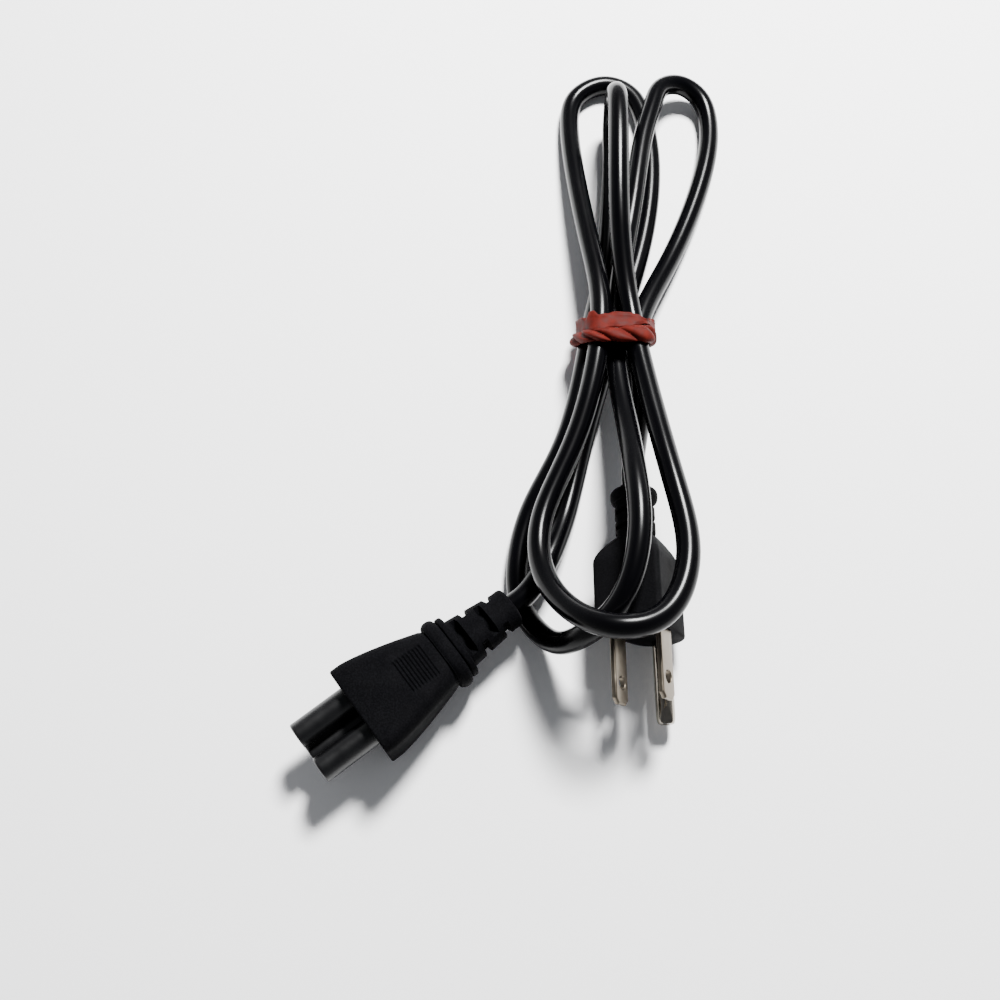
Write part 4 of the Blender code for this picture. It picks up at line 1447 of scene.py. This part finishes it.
@dataclass
class RubberBand:
    """One rubber band wound twice round the six strands: a flat wrap and a folded one."""

    cord_radius: float = 3.0
    thickness: float = 1.0
    slack: float = 0.12
    # How far back a wrap leans as it rises, the height where it stands at its own place, and how
    # far the two wraps are moved and set apart
    lean: float = 0.42
    pivot: float = 9.0
    shift: float = -0.6
    spacing: float = 4.3
    # Where along a wrap's width the strands are read, and the least height over the floor
    planes: tuple[float, ...] = (-2.5, 0.0, 2.5)
    off_floor: float = 0.05
    # Stations round a loop, each section's points, and the powers that square it across and in
    # thickness
    stations: int = 520
    flat_points: int = 36
    flat_powers: tuple[float, float] = (0.7, 0.8)
    folded_points: int = 48
    folded_powers: tuple[float, float] = (0.8, 0.9)
    # How far the flat wrap's edges curl up, at the least and evenly, and in waves, each with its
    # height, its count round the loop and its phase
    curl_least: float = -0.1
    curl: float = 0.28
    curl_waves: tuple[tuple[float, float, float], ...] = ((0.3, 9.0, 1.0), (0.16, 17.0, 0.0))
    # The flat wrap's fine lines: how deep, how close and how often they sway round the loop
    line_depth: float = 0.05
    line_closeness: float = 13.0
    line_sways: float = 5.0
    # Shares of the loop from its bottom over its right, with the flat wrap's upper and lower edge
    upper: Marks = (
        (0.0, 2.5), (0.28, 2.2), (0.329, 0.9), (0.3685, 1.0), (0.399, 2.3), (0.448, 2.9),
        (0.4986, 3.15), (0.535, 2.5), (0.552, 2.5), (0.566, 2.1), (0.588, 3.5), (0.61, 3.4),
        (0.64, 1.8), (0.69, 2.3), (1.0, 2.5))
    lower: Marks = (
        (0.0, -2.5), (0.27, -2.2), (0.335, -0.5), (0.37, -0.7), (0.40, -1.3), (0.45, -1.7),
        (0.5, -2.0), (0.6, -2.9), (0.68, -2.8), (1.0, -2.5))
    # The folded wrap's middle and half width round the loop, and where its creases cross its middle
    middle: Marks = (
        (0.0, 0.0), (0.33, 0.2), (0.38, 0.5), (0.45, 0.35), (0.55, 0.1), (0.62, 0.0), (1.0, 0.0))
    half_width: Marks = (
        (0.0, 2.2), (0.33, 2.5), (0.40, 2.9), (0.47, 2.6), (0.56, 2.3), (0.65, 2.0), (1.0, 2.2))
    creases: tuple[float, ...] = (0.05, 0.16, 0.27, 0.36, 0.474, 0.586, 0.656, 0.76, 0.88)
    # The lobes between creases: how the creases slant, how full the lobes are, how far a crease
    # reaches across, the height of a crease and of a lobe over it, and the depth on the inside
    slant: float = 0.045
    lobe_power: float = 2.6
    crease_reach: float = 0.86
    rise: float = 0.55
    fullness: float = 1.35
    under: float = 0.35
    # Edges steeper than this many degrees stay sharp
    sharp: float = 60.0
    finish: Finish = CutRubber("cut_red_rubber", "#3e0b06", roughness=0.66, ior=1.52,
                               specular=0.08)

    def crossings(self, line: Array, y: float) -> Array:
        """Find where the cord's centre line passes the leaning plane of a wrap.

        Args:
            line: the cord's centre line.
            y: where the plane passes the pivot's height.

        Returns:
            Rows of x and z, one for each strand.
        """
        beyond = line[:, 1] + self.lean * (line[:, 2] - self.pivot) - y
        hit = np.flatnonzero(beyond[:-1] * beyond[1:] < 0)
        share = (beyond[hit] / (beyond[hit] - beyond[hit + 1]))[:, None]
        return (line[hit] + (line[hit + 1] - line[hit]) * share)[:, [0, 2]]

    def path(self, line: Array, y: float, half: float) -> tuple[Array, Array, Array]:
        """Lay a wrap's middle round the strands, with the way it faces.

        The loop is taut round the strands as they pass three planes of the wrap's width, so no
        strand comes through it, and it is kept above the floor.

        Args:
            line: the cord's centre line.
            y: the wrap's place along the bundle.
            half: half of the wrap's thickness.

        Returns:
            Points x and z, their outward directions, and their shares of the loop.
        """
        radius = self.cord_radius + self.slack + half
        strands = np.vstack([self.crossings(line, y + step) for step in self.planes])
        circles = np.column_stack([strands, np.full(len(strands), radius)])
        point, out = taut_outline(circles, self.stations)
        return point, out, np.arange(self.stations) / self.stations

    def wrap(self, point: Array, out: Array, across: Array, lift: Array, y: float) -> Array:
        """Put a section's points round the loop: lift goes outwards and across along y.

        The loop lies in a plane that leans back, so that y falls as the height rises.

        Args:
            point: the loop's points, as x and z.
            out: their outward directions.
            across: the section's places across the wrap.
            lift: the section's heights over the loop.
            y: where the wrap's plane passes the pivot's height.

        Returns:
            A grid of loop places by section points by three.
        """
        x = point[:, :1] + out[:, :1] * lift
        z = np.maximum(point[:, 1:] + out[:, 1:] * lift, self.off_floor)
        return np.stack([x, y + across - self.lean * (z - self.pivot), z], axis=-1)

    def flat_wrap(self, line: Array) -> Array:
        """Give the flat wrap: a thin strip with wavy edges that curl up a little.

        Across it the section is a flattened superellipse, stretched between the upper and the
        lower edge. The curl is the square of the place across, times slow waves round the loop.

        Args:
            line: the cord's centre line.

        Returns:
            A grid of loop places by section points by three.
        """
        y = BAND_Y - LAYOUT_CENTRE[1] + self.shift + self.spacing / 2
        half = self.thickness / 2
        point, out, share = self.path(line, y, half)
        upper = smooth_read(share, self.upper)[:, None]
        lower = smooth_read(share, self.lower)[:, None]
        place, thick = superellipse(self.flat_points, self.flat_powers)
        across = (upper + lower) / 2 + (upper - lower) / 2 * place
        turn = share[:, None] * 2 * math.pi
        waves = [height * np.sin(count * turn + phase) for height, count, phase in self.curl_waves]
        curl = np.maximum(self.curl + sum(waves), self.curl_least)
        lines = np.sin(self.line_closeness * place + np.sin(self.line_sways * turn))
        lift = half * thick + curl * place ** 2 + self.line_depth * lines * (1 - place ** 2)
        return self.wrap(point, out, across, lift, y)

    def puff(self, share: Array, place: Array) -> Array:
        """Give how full the folded wrap is: 1 in the middle of a lobe and 0 on a crease.

        The creases slant: each lies further round the loop by the slant times the place across.
        Between two of them the fullness is 1 - |2 t - 1| ** power, with t from 0 to 1.

        Args:
            share: places round the loop, as a column.
            place: places across the wrap, from -1 to 1.

        Returns:
            A grid of loop places by places across.
        """
        creases = np.array(self.creases)
        leaned = (share - self.slant * place) % 1.0
        after = np.searchsorted(creases, leaned, side="right")
        start, end = creases[after - 1], creases[after % len(creases)]
        t = ((leaned - start) % 1.0) / ((end - start) % 1.0)
        return 1 - np.abs(2 * t - 1) ** self.lobe_power

    def folded_wrap(self, line: Array) -> Array:
        """Give the lower wrap: a strip twisted over itself into lobes with dark creases between.

        Across it the section is a superellipse, thin on the strands' side. Its outer height is a
        rise plus the fullness, and a lobe also reaches further across than a crease does.

        Args:
            line: the cord's centre line.

        Returns:
            A grid of loop places by section points by three.
        """
        y = BAND_Y - LAYOUT_CENTRE[1] + self.shift - self.spacing / 2
        point, out, share = self.path(line, y, self.under)
        share = share[:, None]
        place, thick = superellipse(self.folded_points, self.folded_powers)
        full = self.puff(share, place)
        creased = self.crease_reach + (1 - self.crease_reach) * full
        reach = smooth_read(share, self.half_width) * creased
        across = smooth_read(share, self.middle) + reach * place
        lift = thick * np.where(thick > 0, self.rise + self.fullness * full, self.under)
        return self.wrap(point, out, across, lift, y)

    def build(self, line: Array) -> None:
        """Make both wraps as one piece."""
        make_piece("rubber_band_wraps", [self.flat_wrap(line), self.folded_wrap(line)],
                   self.finish.make(), "rubber_band", self.sharp, looped=True)


@dataclass
class Studio:
    """The photograph's viewpoint, a white floor and one soft light from the upper right."""

    camera_at: tuple[float, float, float] = (-0.0089, -0.1430, 0.2676)
    camera_tilt: float = 22.0
    lens: float = 37.44
    sensor: float = 36.0
    clip_start: float = 0.01
    floor_half: float = 3.0
    key_at: tuple[float, float, float] = (0.16, 0.42, 0.62)
    key_size: float = 0.17
    key_energy: float = 30.0
    # The surround's brightness from the horizon up to overhead
    sky: Stops = ((0.2, "#dedfe2"), (0.5, "#a2a4a8"), (0.85, "#66686c"))
    sky_strength: float = 0.9
    card: Finish = PaperFloor("matt_white_card", "#fbfbfb", roughness=0.9, specular=0.2)

    def camera(self) -> None:
        """Add the camera and make it the scene's own."""
        data = bpy.data.cameras.new("camera")
        data.lens = self.lens
        data.sensor_width = self.sensor
        data.clip_start = self.clip_start
        camera = add_object("camera", data)
        camera.location = self.camera_at
        camera.rotation_euler = (math.radians(self.camera_tilt), 0.0, 0.0)
        bpy.context.scene.camera = camera

    def floor(self) -> None:
        """Add the floor as one large square under the cord."""
        half = self.floor_half
        mesh = bpy.data.meshes.new("floor")
        mesh.from_pydata([(-half, -half, 0.0), (half, -half, 0.0), (half, half, 0.0),
                          (-half, half, 0.0)], [], [(0, 1, 2, 3)])
        mesh.materials.append(self.card.make())
        add_object("floor", mesh)

    def light(self) -> None:
        """Add the key light and an even surround that is darker overhead."""
        data = bpy.data.lights.new("key", "AREA")
        data.energy = self.key_energy
        data.size = self.key_size
        key = add_object("key", data)
        key.location = self.key_at
        key.rotation_euler = (-Vector(self.key_at)).to_track_quat("-Z", "Y").to_euler()
        world = bpy.data.worlds.new("surround")
        world.use_nodes = True
        tree = world.node_tree
        place = add_node(tree, "ShaderNodeTexCoord")
        height = add_node(tree, "ShaderNodeSeparateXYZ",
                          links={"Vector": place.outputs["Generated"]})
        ramp = add_node(tree, "ShaderNodeValToRGB", links={"Fac": height.outputs["Z"]})
        set_ramp(ramp, self.sky)
        background = tree.nodes["Background"]
        background.inputs["Strength"].default_value = self.sky_strength
        tree.links.new(ramp.outputs["Color"], background.inputs["Color"])
        bpy.context.scene.world = world

    def build(self) -> None:
        """Set up the camera, the floor and the light."""
        self.camera()
        self.floor()
        self.light()


@dataclass
class PowerCord:
    """The whole part: its studio, connector, plug, cord and band, built in that order."""

    studio: Studio = field(default_factory=Studio)
    connector: Connector = field(default_factory=Connector)
    plug: Plug = field(default_factory=Plug)
    cord: Cord = field(default_factory=Cord)
    band: RubberBand = field(default_factory=RubberBand)

    def build(self) -> None:
        """Build every piece and report each."""
        self.studio.build()
        log.info("studio ready")
        self.connector.build()
        log.info("connector built")
        on_it = self.plug.build()
        log.info("plug built: %s", ", ".join(on_it))
        line = self.cord.build(self.connector.place, self.plug.place(), on_it)
        log.info("cord built: %.1f mm", run_lengths(line)[-1])
        self.band.build(line)
        log.info("band built")


def main() -> None:
    """Build the power cord."""
    logging.basicConfig(level=logging.INFO, format="%(name)s: %(message)s")
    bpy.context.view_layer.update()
    PowerCord().build()
    log.info("size written")


if __name__ == "__main__":
    main()
